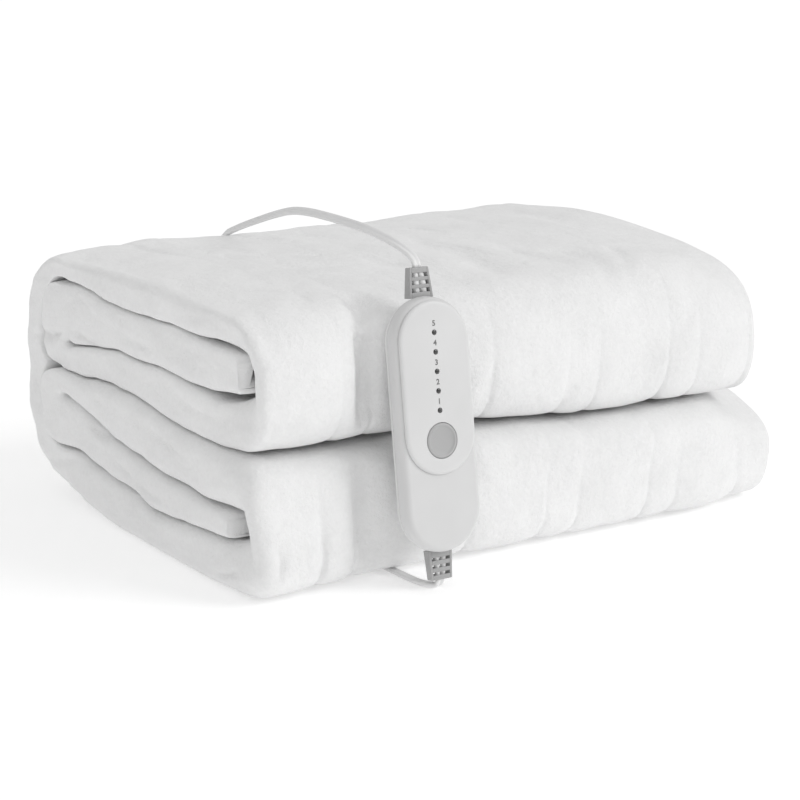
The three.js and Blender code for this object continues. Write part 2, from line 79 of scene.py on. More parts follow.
class Nodes:
    """A short way to write a material's node tree."""

    def __init__(self, name):
        self.material = bpy.data.materials.new(name)
        self.material.use_nodes = True
        self.tree = self.material.node_tree
        self.shader = self.tree.nodes["Principled BSDF"]
        self.place = self.add("ShaderNodeTexCoord").outputs["Object"]

    def add(self, kind, **values):
        node = self.tree.nodes.new(kind)
        for key, value in values.items():
            if key in node.inputs:
                node.inputs[key].default_value = value
            else:
                setattr(node, key, value)
        return node

    def link(self, source, target):
        self.tree.links.new(source, target)

    def noise(self, scale, detail=3.0, roughness=0.55, stretch=None):
        node = self.add("ShaderNodeTexNoise", Scale=scale, Detail=detail, Roughness=roughness)
        source = self.place
        if stretch:
            mapping = self.add("ShaderNodeMapping")
            mapping.inputs["Scale"].default_value = stretch
            self.link(source, mapping.inputs["Vector"])
            source = mapping.outputs["Vector"]
        self.link(source, node.inputs["Vector"])
        return node.outputs["Fac"]

    def ramp(self, factor, stops):
        node = self.add("ShaderNodeValToRGB")
        elements = node.color_ramp.elements
        while len(elements) < len(stops):
            elements.new(0.5)
        for element, (place, colour) in zip(elements, stops):
            element.position = place
            element.color = (*colour, 1.0)
        self.link(factor, node.inputs["Fac"])
        return node.outputs["Color"]

    def span(self, factor, low, high):
        node = self.add("ShaderNodeMapRange")
        node.inputs["To Min"].default_value = low
        node.inputs["To Max"].default_value = high
        self.link(factor, node.inputs["Value"])
        return node.outputs["Result"]

    def sum(self, a, b, share):
        node = self.add("ShaderNodeMath", operation="MULTIPLY_ADD")
        self.link(b, node.inputs[0])
        node.inputs[1].default_value = share
        self.link(a, node.inputs[2])
        return node.outputs["Value"]

    def bump(self, height, distance, strength=1.0):
        node = self.add("ShaderNodeBump")
        node.inputs["Strength"].default_value = strength
        node.inputs["Distance"].default_value = distance
        self.link(height, node.inputs["Height"])
        self.link(node.outputs["Normal"], self.shader.inputs["Normal"])

    def set(self, **values):
        for key, value in values.items():
            self.shader.inputs[key.replace("_", " ")].default_value = value


def grey(value, warm=0.0):
    return (value + warm, value, value - warm)


def fleece_material():
    """White plush: a short nap in clumps, brushed this way and that, with a soft sheen."""
    n = Nodes("fleece")
    n.set(Roughness=0.95, Sheen_Weight=0.3, Sheen_Roughness=0.45)
    patches = n.noise(34.0, 4.0, 0.65, (1.0, 0.55, 1.0))
    clumps = n.noise(420.0, 3.0, 0.6)
    fibres = n.noise(1500.0, 2.0, 0.7)
    tone = n.sum(patches, clumps, 0.55)
    colour = n.ramp(tone, [(0.55, grey(0.835)), (0.8, grey(0.875)), (1.0, grey(0.9))])
    n.link(colour, n.shader.inputs["Base Color"])
    brushed = n.sum(n.noise(70.0, 2.0, 0.5, (1.0, 0.6, 1.0)), n.noise(160.0, 2.0, 0.5), 0.8)
    height = n.sum(n.sum(brushed, clumps, 0.6), fibres, 0.3)
    n.bump(height, 0.0016, 0.6)
    return n.material


def plastic_material(name, tone, roughness, grain=900.0, depth=0.00002, drift=0.02):
    """Moulded plastic with a fine spark-eroded grain and a slight drift in tone and gloss."""
    n = Nodes(name)
    fine = n.noise(grain, 3.0, 0.6)
    broad = n.noise(30.0, 2.0, 0.5)
    stops = [(0.3, grey(tone * (1 - drift))), (0.7, grey(tone * (1 + drift)))]
    n.link(n.ramp(broad, stops), n.shader.inputs["Base Color"])
    n.link(n.span(n.sum(broad, fine, 0.4), roughness - 0.05, roughness + 0.07), n.shader.inputs["Roughness"])
    n.bump(fine, depth, 0.5)
    return n.material


def lens_material():
    n = Nodes("lamp_lens")
    n.set(Roughness=0.2, Coat_Weight=0.5)
    n.link(n.ramp(n.noise(500.0), [(0.3, grey(0.02)), (0.8, grey(0.05))]), n.shader.inputs["Base Color"])
    n.bump(n.noise(1800.0), 0.00001, 0.3)
    return n.material


def metal_material():
    n = Nodes("pin_metal")
    n.set(Metallic=1.0)
    turned = n.noise(260.0, 3.0, 0.6, (0.2, 1.0, 1.0))
    n.link(n.ramp(turned, [(0.2, grey(0.6, 0.01)), (0.8, grey(0.75, 0.01))]), n.shader.inputs["Base Color"])
    n.link(n.span(turned, 0.18, 0.34), n.shader.inputs["Roughness"])
    n.bump(turned, 0.00001, 0.3)
    return n.material


FLEECE = fleece_material()
SHELL = plastic_material("controller_shell", 0.68, 0.42)
# The back shell's plastic is a lighter copy of the shell's plastic. This is painted light, so that its side
# wall, which lies in shade, shows lighter.
SHELL_BACK_PAINTED_LIGHT = plastic_material("controller_back_painted_light", 0.79, 0.45)
PANEL = plastic_material("controller_panel", 0.7, 0.38)
BUTTON_GREY = plastic_material("button_grey", 0.425, 0.42)
RELIEF_GREY = plastic_material("relief_grey", 0.39, 0.5, drift=0.05)
INK = plastic_material("number_ink", 0.16, 0.6)
LEAD_WHITE = plastic_material("lead_white", 0.82, 0.42, grain=500.0, depth=0.00004)
PLUG_WHITE = plastic_material("plug_white", 0.74, 0.4)
TIE_WHITE = plastic_material("tie_white", 0.6, 0.5)
LENS = lens_material()
PIN_METAL = metal_material()


# ---------------------------------------------------------------- mesh helpers

def link_piece(name, mesh, body="stack", node=None):
    """A piece of the scene, riding on a body, in place of one or more CAD nodes."""
    piece = bpy.data.objects.new(name, mesh)
    bpy.context.scene.collection.objects.link(piece)
    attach(piece, body)
    for one in [node] if isinstance(node, str) else node or []:
        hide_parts(one)
    return piece


def close_mesh(work, mesh):
    """Writes a working mesh to its mesh, with its faces outwards and smooth."""
    bmesh.ops.recalc_face_normals(work, faces=work.faces)
    work.to_mesh(mesh)
    work.free()
    mesh.polygons.foreach_set("use_smooth", [True] * len(mesh.polygons))


def mesh_object(name, points, faces, material, slot, body="stack", node=None):
    """A smooth-shaded piece from points in the row frame."""
    mesh = bpy.data.meshes.new(name)
    mesh.from_pydata([tuple(map(float, p)) for p in points], [], [tuple(map(int, f)) for f in faces])
    work = bmesh.new()
    work.from_mesh(mesh)
    close_mesh(work, mesh)
    mesh.materials.append(material)
    return link_piece(name, mesh, body, node)


def sharpen(piece, degrees=32):
    """Keeps hard edges hard under smooth shading."""
    work = bmesh.new()
    work.from_mesh(piece.data)
    for edge in work.edges:
        if len(edge.link_faces) == 2:
            edge.smooth = edge.calc_face_angle(0) < math.radians(degrees)
    work.to_mesh(piece.data)
    work.free()


def signed_power(value, power):
    """The power of a number's size, with the number's own sign."""
    return math.copysign(abs(value) ** power, value)


def rings_faces(count, size):
    """Quads between rings that follow each other, each ring closed on itself."""
    i, j = np.meshgrid(np.arange(count - 1), np.arange(size), indexing="ij")
    a = i * size + j
    b = i * size + (j + 1) % size
    return np.stack([a, b, b + size, a + size], -1).reshape(-1, 4).tolist()


def with_ends(faces, count, size):
    """Adds the two end faces of a row of rings."""
    faces.append(list(range(size))[::-1])
    faces.append(list(range((count - 1) * size, count * size)))
    return faces


def solid_object(name, rings, material, slot, place=to_frame, **links):
    """A piece from rings of points that follow each other, with both its ends closed."""
    count, size = rings.shape[:2]
    faces = with_ends(rings_faces(count, size), count, size)
    return mesh_object(name, place(rings.reshape(-1, 3)), faces, material, slot, **links)


def gaps(points):
    return np.linalg.norm(np.diff(points, axis=0), axis=1)


def along(steps):
    """Distances from the start of a line with these steps."""
    return np.concatenate([[0], np.cumsum(steps)])


def soften(values, passes):
    """Evens out values in place along their first direction, and leaves both ends."""
    for _ in range(passes):
        values[1:-1] = values[1:-1] * 0.5 + (values[:-2] + values[2:]) * 0.25


# ---------------------------------------------------------------- leads

# Widths in millimetres, the mains lead's length in metres, and the step of the points along it
LEAD_WIDE, LEAD_THICK = 5.6, 2.8
MAINS_LENGTH = 2.0
LEAD_STEP, PAD_LEAD_STEP = 2.4, 1.2

MAINS_ROUTE = [
    [102.12, -8.42, 180], [102.2, -7.6, 183.4], [102.5, -3.4, 186.2], [103, 4.3, 188.6],
    [103.8, 15, 190.9], [105.6, 35.3, 193.4], [107.6, 57, 195], [109.6, 76, 195.4], [113.2, 108, 195.4],
    [117, 139, 194.4], [119.6, 161, 192.2], [122.4, 184, 187.6], [126.4, 218, 179.2], [132.4, 259, 168.4],
    [137, 285, 160.4], [140.2, 302, 150.6],
    [142.2, 312.5, 138], [143, 317, 118], [143, 318.4, 70], [142.8, 319.6, 32], [142.6, 324, 13],
    [142.5, 331, 4.6], [142.5, 341, 1.6], [142.5, 355.45, 1.6],
]
PAD_LEAD_ROUTE = [
    [100.9, -34.7, 6.4], [100.8, -34.9, 4.6], [100, -34.4, 2.8], [98.4, -32.6, 1.8], [96.2, -29, 1.6],
    [94.2, -23, 1.6], [93.6, -14, 1.6], [93.6, -4, 1.6], [93.4, 8, 1.6], [92.8, 24, 1.6], [92.8, 60, 1.6],
    [92.8, 140, 1.6], [92.8, 220, 1.6],
]

# The coil: the radii and heights of its turns, how many turns are tried, and in which share of a
# turn the lead moves over to the next place; then the lead's run to the plug's tail: its length,
# how squarely it has to leave the coil, and its bends
COIL_CENTRE = np.array([183.2, 372.0])
COIL_COLUMNS = [38.0, 32.0, 26.0]
COIL_LEVELS = [1.6, 4.8, 8.0]
COIL_TURNS = np.arange(6.0, 8.6, 0.01)
COIL_STEPS = 72
MOVE_OVER, LEAD_IN = 0.28, 0.3
TAIL_RUN, TAIL_STRAIGHT, TAIL_BEND = (24, 50), 0.9, 9
PLUG_PLACE = np.array([239.1, 398.0, 8.5])
PLUG_TAIL_X = -18.6


def catmull(points, step):
    """The centripetal curve that part.mjs draws through its points, at even steps."""
    p = np.asarray(points, float)
    p = np.vstack([2 * p[0] - p[1], p, 2 * p[-1] - p[-2]])
    out = []
    for i in range(1, len(p) - 2):
        d = [max(np.linalg.norm(p[k + 1] - p[k]) ** 0.5, 1e-4) for k in (i - 1, i, i + 1)]
        t1 = (p[i] - p[i - 1]) / d[0] - (p[i + 1] - p[i - 1]) / (d[0] + d[1]) + (p[i + 1] - p[i]) / d[1]
        t2 = (p[i + 1] - p[i]) / d[1] - (p[i + 2] - p[i]) / (d[1] + d[2]) + (p[i + 2] - p[i + 1]) / d[2]
        t1, t2 = t1 * d[1], t2 * d[1]
        for t in np.linspace(0, 1, 24, endpoint=False):
            a = p[i]
            b = t1
            c = -3 * p[i] + 3 * p[i + 1] - 2 * t1 - t2
            e = 2 * p[i] - 2 * p[i + 1] + t1 + t2
            out.append(a + b * t + c * t * t + e * t ** 3)
    out.append(p[-2])
    return even(np.array(out), step)


def even(points, step):
    """The same line with its points an even step apart."""
    marks = along(gaps(points))
    places = np.linspace(0, marks[-1], max(int(round(marks[-1] / step)), 2) + 1)
    return np.stack([np.interp(places, marks, points[:, k]) for k in range(3)], -1)


def line_length(points):
    return float(gaps(points).sum())


def coil_route(turns):
    """From the lead's end on the ground, through the turns of the coil, to the plug's tail."""
    reach = np.array(MAINS_ROUTE[-1][:2]) - COIL_CENTRE
    first_angle = math.atan2(reach[1], reach[0])
    first_radius = float(np.linalg.norm(reach))
    places = []
    for k, level in enumerate(COIL_LEVELS):
        places += [(column, level) for column in (COIL_COLUMNS if k % 2 == 0 else COIL_COLUMNS[::-1])]
    places = np.array(places + places[-1:])
    steps = int(round(turns * COIL_STEPS))
    out = []
    for i in range(steps + 1):
        turn = turns * i / steps
        k = min(int(turn), len(places) - 2)
        share = smooth((turn - k - 1 + MOVE_OVER) / MOVE_OVER)
        radius, height = places[k] + (places[k + 1] - places[k]) * share
        radius = first_radius + (radius - first_radius) * smooth(turn / LEAD_IN)
        angle = first_angle - 2 * math.pi * turn
        out.append([*(COIL_CENTRE + [radius * math.cos(angle), radius * math.sin(angle)]), height])
    return np.array(out)


def mains_path():
    """The whole lead, as near its real length as the coil and the plug's place let it be."""
    route = catmull(MAINS_ROUTE, LEAD_STEP)
    tail = PLUG_PLACE + [PLUG_TAIL_X, 0, 0]
    least, best = math.inf, None
    for turns in COIL_TURNS:
        coil = coil_route(turns)
        leaving = coil[-1] - coil[-2]
        leaving /= np.linalg.norm(leaving)
        run = tail[0] - coil[-1][0]
        if run < TAIL_RUN[0] or run > TAIL_RUN[1] or leaving[0] < TAIL_STRAIGHT:
            continue
        bend = [coil[-3], coil[-1], coil[-1] + leaving * TAIL_BEND, tail - [TAIL_BEND, 0, 0], tail]
        path = even(np.vstack([route[:-1], coil[:-1], catmull(bend, LEAD_STEP)[1:]]), LEAD_STEP)
        miss = abs(line_length(path) - MAINS_LENGTH / MM)
        if miss < least:
            least, best = miss, path
    return best


# How far the mains lead is twisted, by millimetres along it: flat, on edge over the stack, flat
TWIST = [(0, 0), (8, 4), (45, 44), (120, 52), (205, 58), (300, 56), (350, 20), (385, 0)]


def widths(path, twist=None):
    """Which way the flat lead's wide side points along its path: level, or across where it stands."""
    tangent = np.gradient(path, axis=0)
    tangent /= np.linalg.norm(tangent, axis=1, keepdims=True)
    level = np.cross(tangent, [0, 0, 1.0])
    across = np.array([1.0, 0, 0]) - tangent * tangent[:, :1]
    share = smooth((np.abs(tangent[:, 2:]) - 0.35) / 0.4)
    norm = lambda v: v / np.maximum(np.linalg.norm(v, axis=1, keepdims=True), 1e-9)
    wide = norm(norm(level) * (1 - share) + norm(across) * share)
    wide = norm(wide - tangent * (wide * tangent).sum(1, keepdims=True))
    if twist:
        turn = np.radians(np.interp(along(gaps(path)), *zip(*twist)))[:, None]
        wide = wide * np.cos(turn) - np.cross(tangent, wide) * np.sin(turn)
    return tangent, wide


def twin_section(sides=9, turn=math.radians(128), web=0.66):
    """Two round cores side by side, joined by a thin web."""
    radius = LEAD_THICK / 2
    points = []
    for side, middle in ((1, 0), (-1, math.pi)):
        for angle in np.linspace(middle - turn, middle + turn, sides):
            x = side * (LEAD_WIDE / 2 - radius) + radius * math.cos(angle)
            points.append((x, radius * math.sin(angle)))
        points.append((0.0, side * radius * web))
    return np.array(points)


def lead_object(name, path, node, twist=None):
    tangent, wide = widths(path, twist)
    thick = np.cross(tangent, wide)
    section = twin_section()
    across, up = section[None, :, :1], section[None, :, 1:]
    rings = path[:, None, :] + wide[:, None, :] * across + thick[:, None, :] * up
    return solid_object(name, rings, LEAD_WHITE, "lead", node=node)


mains = mains_path()
mains_piece = lead_object("mains_flex", mains, ["mains_lead", "mains_coil"], TWIST)
pad_flex = catmull(PAD_LEAD_ROUTE, PAD_LEAD_STEP)
pad_flex_piece = lead_object("pad_flex", pad_flex, "pad_lead")

# The band round the coil: where it sits, half its opening each way, how its corners are rounded,
# its number of sides, and its section as places across its width and growth over the opening
TIE = dict(angle=62, up=5.0, half_across=9.3, half_up=4.85, corner=0.35, sides=40)
TIE_SECTION = [(-3, 0), (-2.6, 0.35), (2.6, 0.35), (3, 0), (2.6, -0.1), (-2.6, -0.1)]


def tie_object():
    """A flat band round the coil's turns at the side away from the stack."""
    angle = math.radians(TIE["angle"])
    out = np.array([math.cos(angle), math.sin(angle), 0])
    side = np.array([-out[1], out[0], 0])
    middle = (COIL_COLUMNS[0] + COIL_COLUMNS[-1]) / 2
    centre = np.array([*COIL_CENTRE, 0]) + out * middle + [0, 0, TIE["up"]]
    points = []
    for across, grow in TIE_SECTION:
        for k in range(TIE["sides"]):
            t = 2 * math.pi * k / TIE["sides"]
            u = (TIE["half_across"] + grow) * signed_power(math.cos(t), TIE["corner"])
            v = (TIE["half_up"] + grow) * signed_power(math.sin(t), TIE["corner"])
            points.append(centre + out * u + np.array([0, 0, v]) + side * across)
    count, size = len(TIE_SECTION), TIE["sides"]
    faces = rings_faces(count, size)
    last = (count - 1) * size
    faces += [[j, (j + 1) % size, last + (j + 1) % size, last + j] for j in range(size)]
    return mesh_object("coil_tie", to_frame(points), faces, TIE_WHITE, "lead")


tie = tie_object()


# ---------------------------------------------------------------- plug

# The plug, from its tail to its front: places along it, half widths and half heights
PLUG_STATIONS = [
    (-18.2, 3.6, 2.6), (-17.9, 4.4, 3.4), (-16.2, 4.8, 3.8), (-15.4, 6.4, 5.6), (-13, 8.6, 6.8),
    (-9, 11.5, 7.6), (-4, 14.6, 8.1), (2, 17.2, 8.4), (8, 18.6, 8.45), (13, 19.1, 8.45), (16.2, 19.2, 8.3),
    (17.9, 18.6, 7.8), (18.4, 17.4, 6.8),
]

# The finger grips: how deep, how close together, and where along the plug
GRIP = dict(deep=0.35, pace=1.9, middle=3, reach=12, fade=6)


def plug_object(sides=48, side_corner=0.5, top_corner=0.62):
    """A slim moulded plug: a tail where the lead goes in, and shallow finger grips at its sides."""
    rings = []
    for x, half_wide, half_high in PLUG_STATIONS:
        grip = GRIP["deep"] * math.cos(x * GRIP["pace"])
        grip *= smooth((GRIP["reach"] - abs(x - GRIP["middle"])) / GRIP["fade"])
        rings.append([])
        for k in range(sides):
            t = 2 * math.pi * k / sides
            c, s = math.cos(t), math.sin(t)
            y = half_wide * signed_power(c, side_corner)
            y -= math.copysign(grip * smooth((abs(c) - 0.75) * 6), c)
            rings[-1].append(PLUG_PLACE + [x, y, half_high * signed_power(s, top_corner)])
    return solid_object("plug_shell", np.array(rings), PLUG_WHITE, "plug", node="plug_body")


plug = plug_object()
for pin_name in ("plug_pin_1", "plug_pin_2"):
    pin_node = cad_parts[pin_name]
    pin_node.data.materials.clear()
    pin_node.data.materials.append(PIN_METAL)

line_length(mains) * MM
line_length(pad_flex) * MM


# ---------------------------------------------------------------- the pad's folded strip

# Levels between the runs, as in part.mjs: at each depth from the stack's front, the height of each
# gap's middle and its opening
DEPTHS = [19, 45, 110, 175, 240]
LEVELS = {
    "underside": ([0, 0, 0, 0, 8], [0, 0, 0, 0, 0]),
    "six_five": ([30, 29, 28, 32.5, 37], [2.4, 1.6, 1.2, 1.2, 1.6]),
    "five_four": ([48, 47.5, 50.5, 58, 71], [6.5, 3.6, 1.4, 1.4, 2.6]),
    "four_three": ([81, 81, 85.5, 90, 87], [1.4, 1.3, 1.2, 1.2, 1.4]),
    "three_two": ([113.4, 110.5, 111.9, 112.2, 104.8], [3, 6, 1.8, 1.4, 3]),
    "two_one": ([140, 141.4, 143.6, 144.8, 145.6], [5, 4.2, 2.4, 3.4, 5.6]),
    "top": ([160, 163, 166, 166, 163.5], [0, 0, 0, 0, 0]),
}
# The strip from its upper free end to its lower one. A turn bulges to reach on its outside and
# leaves its inner wall at wall; first and second are the squareness of its two halves.
STRIP = [
    dict(kind="run", low="three_two", high="two_one", heading=1, start=21, end=240, show=0),
    dict(kind="turn", reach=284.0, wall=248, first=4.4, second=4.4, show=0, recess=0),
    dict(kind="run", low="four_three", high="three_two", heading=-1, start=240, end=45, show=0),
    dict(kind="turn", reach=-12, wall=10, first=3.8, second=3, show=1, recess=13),
    dict(kind="run", low="two_one", high="top", heading=1, start=45, end=240, show=1),
    dict(kind="spine", reach=312, wall=284.5, first=3, second=2.7, show=1, recess=0),
    dict(kind="run", low="underside", high="six_five", heading=-1, start=240, end=45, show=0),
    dict(kind="turn", reach=-8, wall=15, first=4.6, second=1.5, show=1, recess=13),
    dict(kind="run", low="five_four", high="four_three", heading=1, start=45, end=240, show=0),
    dict(kind="turn", reach=283.8, wall=249, first=4.4, second=4.4, show=0, recess=0),
    dict(kind="run", low="six_five", high="five_four", heading=-1, start=240, end=32, show=0),
]
UPPER_TURN, SPINE, LOWER_TURN = 3, 5, 7

# The lower turn's squareness at its left, and where along x it goes over into the soft one; the
# squareness inside every turn; and the least gap that a layer keeps to the next one
LOWER_TURN_LEFT = 5.4
SHOULDER = dict(start=318, wide=58)
INNER_SQUARENESS = 2.6
LEAST_GAP = 0.4

# How the fold at the left is rounded: the powers of its corners, where the outer face is a plain
# hidden ply, an inner ply, or shows
HIDDEN_CORNER, PLY_CORNER, RUN_CORNER, SPINE_CORNER, TURN_CORNER = 16.0, 4.4, 2.0, 2.1, 2.6

# The back panel's bulge into the notch between the bundles
SPINE_BULGE = dict(inwards=11.5, z=88.0, high=5.6)

# Across the strip: its right ends, where its left fold starts and reaches, the rounded hem, the
# slit between the two plies, and how the free ends are rounded
RIGHT_UPPER, RIGHT_LOWER = 364.0, 386.0
LEFT_START, LEFT_MIDDLE, LEFT_BELOW = 6.0, -2.0, -4.2
LEFT_SIDES, LEFT_ARC = 26, 1.4
HEM, HEM_SIDES, HEM_FULLNESS = 3.4, 8, 0.8
SLIT = dict(start=16, wide=0.7, of_recess=0.4, columns=14)
PARTING = dict(along=24, wider=2.4, left=11.5)
FREE_END = dict(steps=11, reach=8.0, least=0.15)
INSIDE_COLUMNS = 20

# The sewn lines: pairs on an even pitch, how plainly they show where they are faint, at the back and
# round the front turns, and columns of points closest together beside them
SEAMS = dict(first=50.2, pitch=79.4, channel=24.5, pairs=4, last=357, skew=-13, wander=1.2)
SEAM_FAINT, SEAM_BACK = 0.22, 0.5
SEAM_FRONT = dict(least=0.26, more=0.86, until=0.66, over=0.44)
BESIDE_SEAM = [0.0, 0.9, 1.9, 3.4]
BESIDE_FOLD = [0.0, 2.0, 4.0, 6.0, 8.0, 10.5]
COLUMN_STEP = 4.8
PANEL_PUFF = 1.3

GROOVE = dict(left=88.0, right=97.5, roof=3.8, end=226)
RIGHT_RISE, RISE_FROM_Z = 0.075, 80.0

# Swells of the front: along x, height, reach in each, forward
SWELLS = [
    (30, 118, 42, 30, 4.5), (102, 116, 40, 34, -6.4), (186, 128, 44, 26, 2), (262, 112, 46, 34, -2.5),
    (12, 14, 44, 34, 10.5), (150, 30, 44, 22, 2.5), (255, 42, 40, 26, 3), (372, 60, 30, 60, -8),
    (392, 0, 28, 26, -8), (378, 168, 60, 40, -16), (240, 64, 120, 17, 7.0),
]
SWELL_DEPTH = 70.0

# Waves of the top: along x, depth, reach in each, upwards
TOP_WAVES = [
    (45, 120, 46, 120, 2), (118, 70, 34, 110, -3.5), (190, 210, 60, 120, -1.5), (285, 120, 50, 110, 1.5),
    (385, 0, 70, 70, -11.5), (70, 262, 15, 45, 2.6), (10, 270, 22, 40, 1.2), (312, 262, 30, 50, -1.8),
    (364, 190, 40, 45, 1.8), (364, 95, 40, 35, -1.4), (247, 272, 24, 46, -3.2),
]

# Sags: the right end beside the notch, the gap between the bundles, and the top's left edge
RIGHT_SAG = dict(x=385, z=80, wide=28, high=26, down=5)
GAP_SAG = dict(start=134, end=252, z=82, high=24, down=6.4)
TOP_ROLL = dict(down=4.6, start=2, wide=36, z=128, high=32)

# The left ends of the folds, pushed about: depth, height, reach in each, upwards, inwards
LEFT_WAVES = [
    (150, 144, 80, 14, -4.2, 0), (232, 150, 26, 12, 1.6, 0.5), (118, 27, 40, 12, -3.2, 0.6),
    (62, 88, 26, 16, 0.5, -1.2), (264, 89, 10, 8, 0, 3.2), (205, 100, 30, 12, 1.6, -0.8),
    (180, 74, 34, 14, 1.2, 1.0), (95, 128, 30, 12, 0.4, -1.4), (30, 96, 22, 12, -0.8, 1.6),
    (128, 66, 26, 11, 0.8, -1.3), (215, 44, 22, 12, 0.5, 1.4), (60, 40, 24, 9, -0.5, -1.0),
    (250, 125, 24, 18, 1.2, -0.9), (285, 60, 20, 26, 0, 1.3), (20, 60, 16, 12, 0.8, -0.8),
]
LEFT_REACH = 46.0

# Steps between stations where they show and inside, and steps in which runs and turns are drawn
FINE_STEP, HIDDEN_STEP = 3.6, 5.6
RUN_STEPS, TURN_STEPS = 60, 160

# A station's columns: outer and inner point and the outer point with the square shoulder (depth
# and height each), the left end's recess, 1 in the lower bundle, 1 where the outer face shows, the
# place in the turn, half the spare gap outside and inside, and the two corner powers
OUTER, INNER, SQUARE = slice(0, 2), slice(2, 4), slice(4, 6)
SHOW, PLACE = 8, 9


def at_depth(column, depth):
    """A level's value at any depth, on a smooth line through its values in the table."""
    i = 0
    while i < len(DEPTHS) - 2 and depth > DEPTHS[i + 1]:
        i += 1
    t = (depth - DEPTHS[i]) / (DEPTHS[i + 1] - DEPTHS[i])
    m0 = (column[i + 1] - column[max(i - 1, 0)]) / 2
    m1 = (column[min(i + 2, len(column) - 1)] - column[i]) / 2
    return (
        (2 * t ** 3 - 3 * t ** 2 + 1) * column[i] + (t ** 3 - 2 * t ** 2 + t) * m0
        + (3 * t ** 2 - 2 * t ** 3) * column[i + 1] + (t ** 3 - t ** 2) * m1
    )


def level_edge(name, depth, side):
    height, opening = LEVELS[name]
    least = 1 if opening[1] > 0 else 0
    return max(at_depth(height, depth), 0) + side * max(at_depth(opening, depth), least) / 2


def run_faces(run, depth):
    top = (depth, level_edge(run["high"], depth, -1))
    bottom = (depth, level_edge(run["low"], depth, 1))
    return (top, bottom) if run["heading"] > 0 else (bottom, top)


def turn_point(start, end, reach, squareness, angle):
    middle, half = (start[1] + end[1]) / 2, (end[1] - start[1]) / 2
    power = 2 / squareness
    depth = start[0] + (reach - start[0]) * max(math.cos(angle), 0) ** power
    return (depth, middle + half * signed_power(math.sin(angle), power))


def turn_rows(number, soft):
    """Outer and inner points round one turn, with the soft or the square shape of its shoulder."""
    piece = STRIP[number]
    start = run_faces(STRIP[number - 1], STRIP[number - 1]["end"])
    end = run_faces(STRIP[number + 1], STRIP[number + 1]["start"])
    second = piece["second"] if soft or number != LOWER_TURN else LOWER_TURN_LEFT
    rows = []
    for i in range(1, TURN_STEPS):
        t = i / TURN_STEPS
        angle = (t - 0.5) * math.pi
        squareness = piece["first"] if t < 0.5 else second
        outer = turn_point(start[0], end[0], piece["reach"], squareness, angle)
        inner = turn_point(start[1], end[1], piece["wall"], INNER_SQUARENESS, angle)
        if number == SPINE:
            bulge = SPINE_BULGE["inwards"] * bell((inner[1] - SPINE_BULGE["z"]) / SPINE_BULGE["high"])
            inner = (inner[0] - bulge, inner[1])
        rows.append((outer, inner, t, angle))
    return rows


def run_rows(piece, lower):
    rows = []
    corner = RUN_CORNER if piece["show"] else PLY_CORNER
    for i in range(RUN_STEPS + 1):
        depth = piece["start"] + (piece["end"] - piece["start"]) * i / RUN_STEPS
        outer, inner = run_faces(piece, depth)
        openings = [LEVELS[piece[side]][1] for side in ("high", "low")]
        spare = [max(at_depth(o, depth) / 2 - LEAST_GAP, 0) if o[1] > 0 else 0.0 for o in openings]
        spare = spare if piece["heading"] > 0 else spare[::-1]
        rows.append([*outer, *inner, *outer, 0.0, lower, piece["show"], 0.0, *spare, corner, PLY_CORNER])
    return rows


def piece_stations(number):
    """The stations of one piece of the strip."""
    piece = STRIP[number]
    lower = 1.0 if number > SPINE else 0.0
    if piece["kind"] == "run":
        return run_rows(piece, lower)
    hairpin = piece["show"] == 0
    corners = [TURN_CORNER, PLY_CORNER]
    if hairpin:
        corners = [HIDDEN_CORNER, PLY_CORNER]
    elif number == SPINE:
        corners = [SPINE_CORNER, HIDDEN_CORNER]
    out = []
    for (outer, inner, t, angle), square in zip(turn_rows(number, True), turn_rows(number, False)):
        recess = piece["recess"] * math.cos(angle) ** 2
        below = smooth(t) if number == SPINE else lower
        spare = [LEAST_GAP if hairpin else 0.0, 0.0]
        out.append([*outer, *inner, *square[0], recess, below, piece["show"], t, *spare, *corners])
    return out


def strip_stations():
    """Stations of the whole strip, an even step apart where they show and further apart inside."""
    raw, piece_of = [], []
    for number in range(len(STRIP)):
        rows = piece_stations(number)
        raw += rows
        piece_of += [number] * len(rows)
    raw, piece_of = np.array(raw), np.array(piece_of)
    centre = (raw[:, OUTER] + raw[:, INNER]) / 2
    reach = np.maximum(gaps(raw[:, OUTER]), gaps(centre))
    shown = np.maximum(raw[1:, SHOW], raw[:-1, SHOW])
    pace = np.where(shown > 0, FINE_STEP, HIDDEN_STEP)
    ticks = along(reach / pace)
    wanted = np.linspace(0, ticks[-1], int(ticks[-1]) + 1)
    table = np.stack([np.interp(wanted, ticks, raw[:, k]) for k in range(raw.shape[1])], -1)
    distance = np.interp(wanted, ticks, along(reach))
    number = piece_of[np.clip(np.searchsorted(ticks, wanted), 0, len(piece_of) - 1)]
    soften(table, 3)
    return table, distance, number


def warp(points):
    """The soft unevenness of the whole stack, the same as the solid's."""
    x, y, z = points[..., 0], points[..., 1], points[..., 2]
    depth, height = y.copy(), z.copy()
    frontness = 1 - smooth(y / SWELL_DEPTH)
    for px, pz, wide, high, forward in SWELLS:
        depth -= forward * frontness * bell((x - px) / wide) * bell((z - pz) / high)
    above = np.maximum(z - RISE_FROM_Z, 0)
    height += above * RIGHT_RISE * smooth(x / RIGHT_UPPER)
    for px, py, wide, deep, up in TOP_WAVES:
        height += up * (above / RISE_FROM_Z) * bell((x - px) / wide) * bell((y - py) / deep)
    right_end = bell((x - RIGHT_SAG["x"]) / RIGHT_SAG["wide"])
    height -= RIGHT_SAG["down"] * right_end * bell((z - RIGHT_SAG["z"]) / RIGHT_SAG["high"])
    along_gap = smooth((x - GAP_SAG["start"]) / (GAP_SAG["end"] - GAP_SAG["start"]))
    height -= GAP_SAG["down"] * along_gap * bell((z - GAP_SAG["z"]) / GAP_SAG["high"])
    return np.stack([x, depth, height], -1)


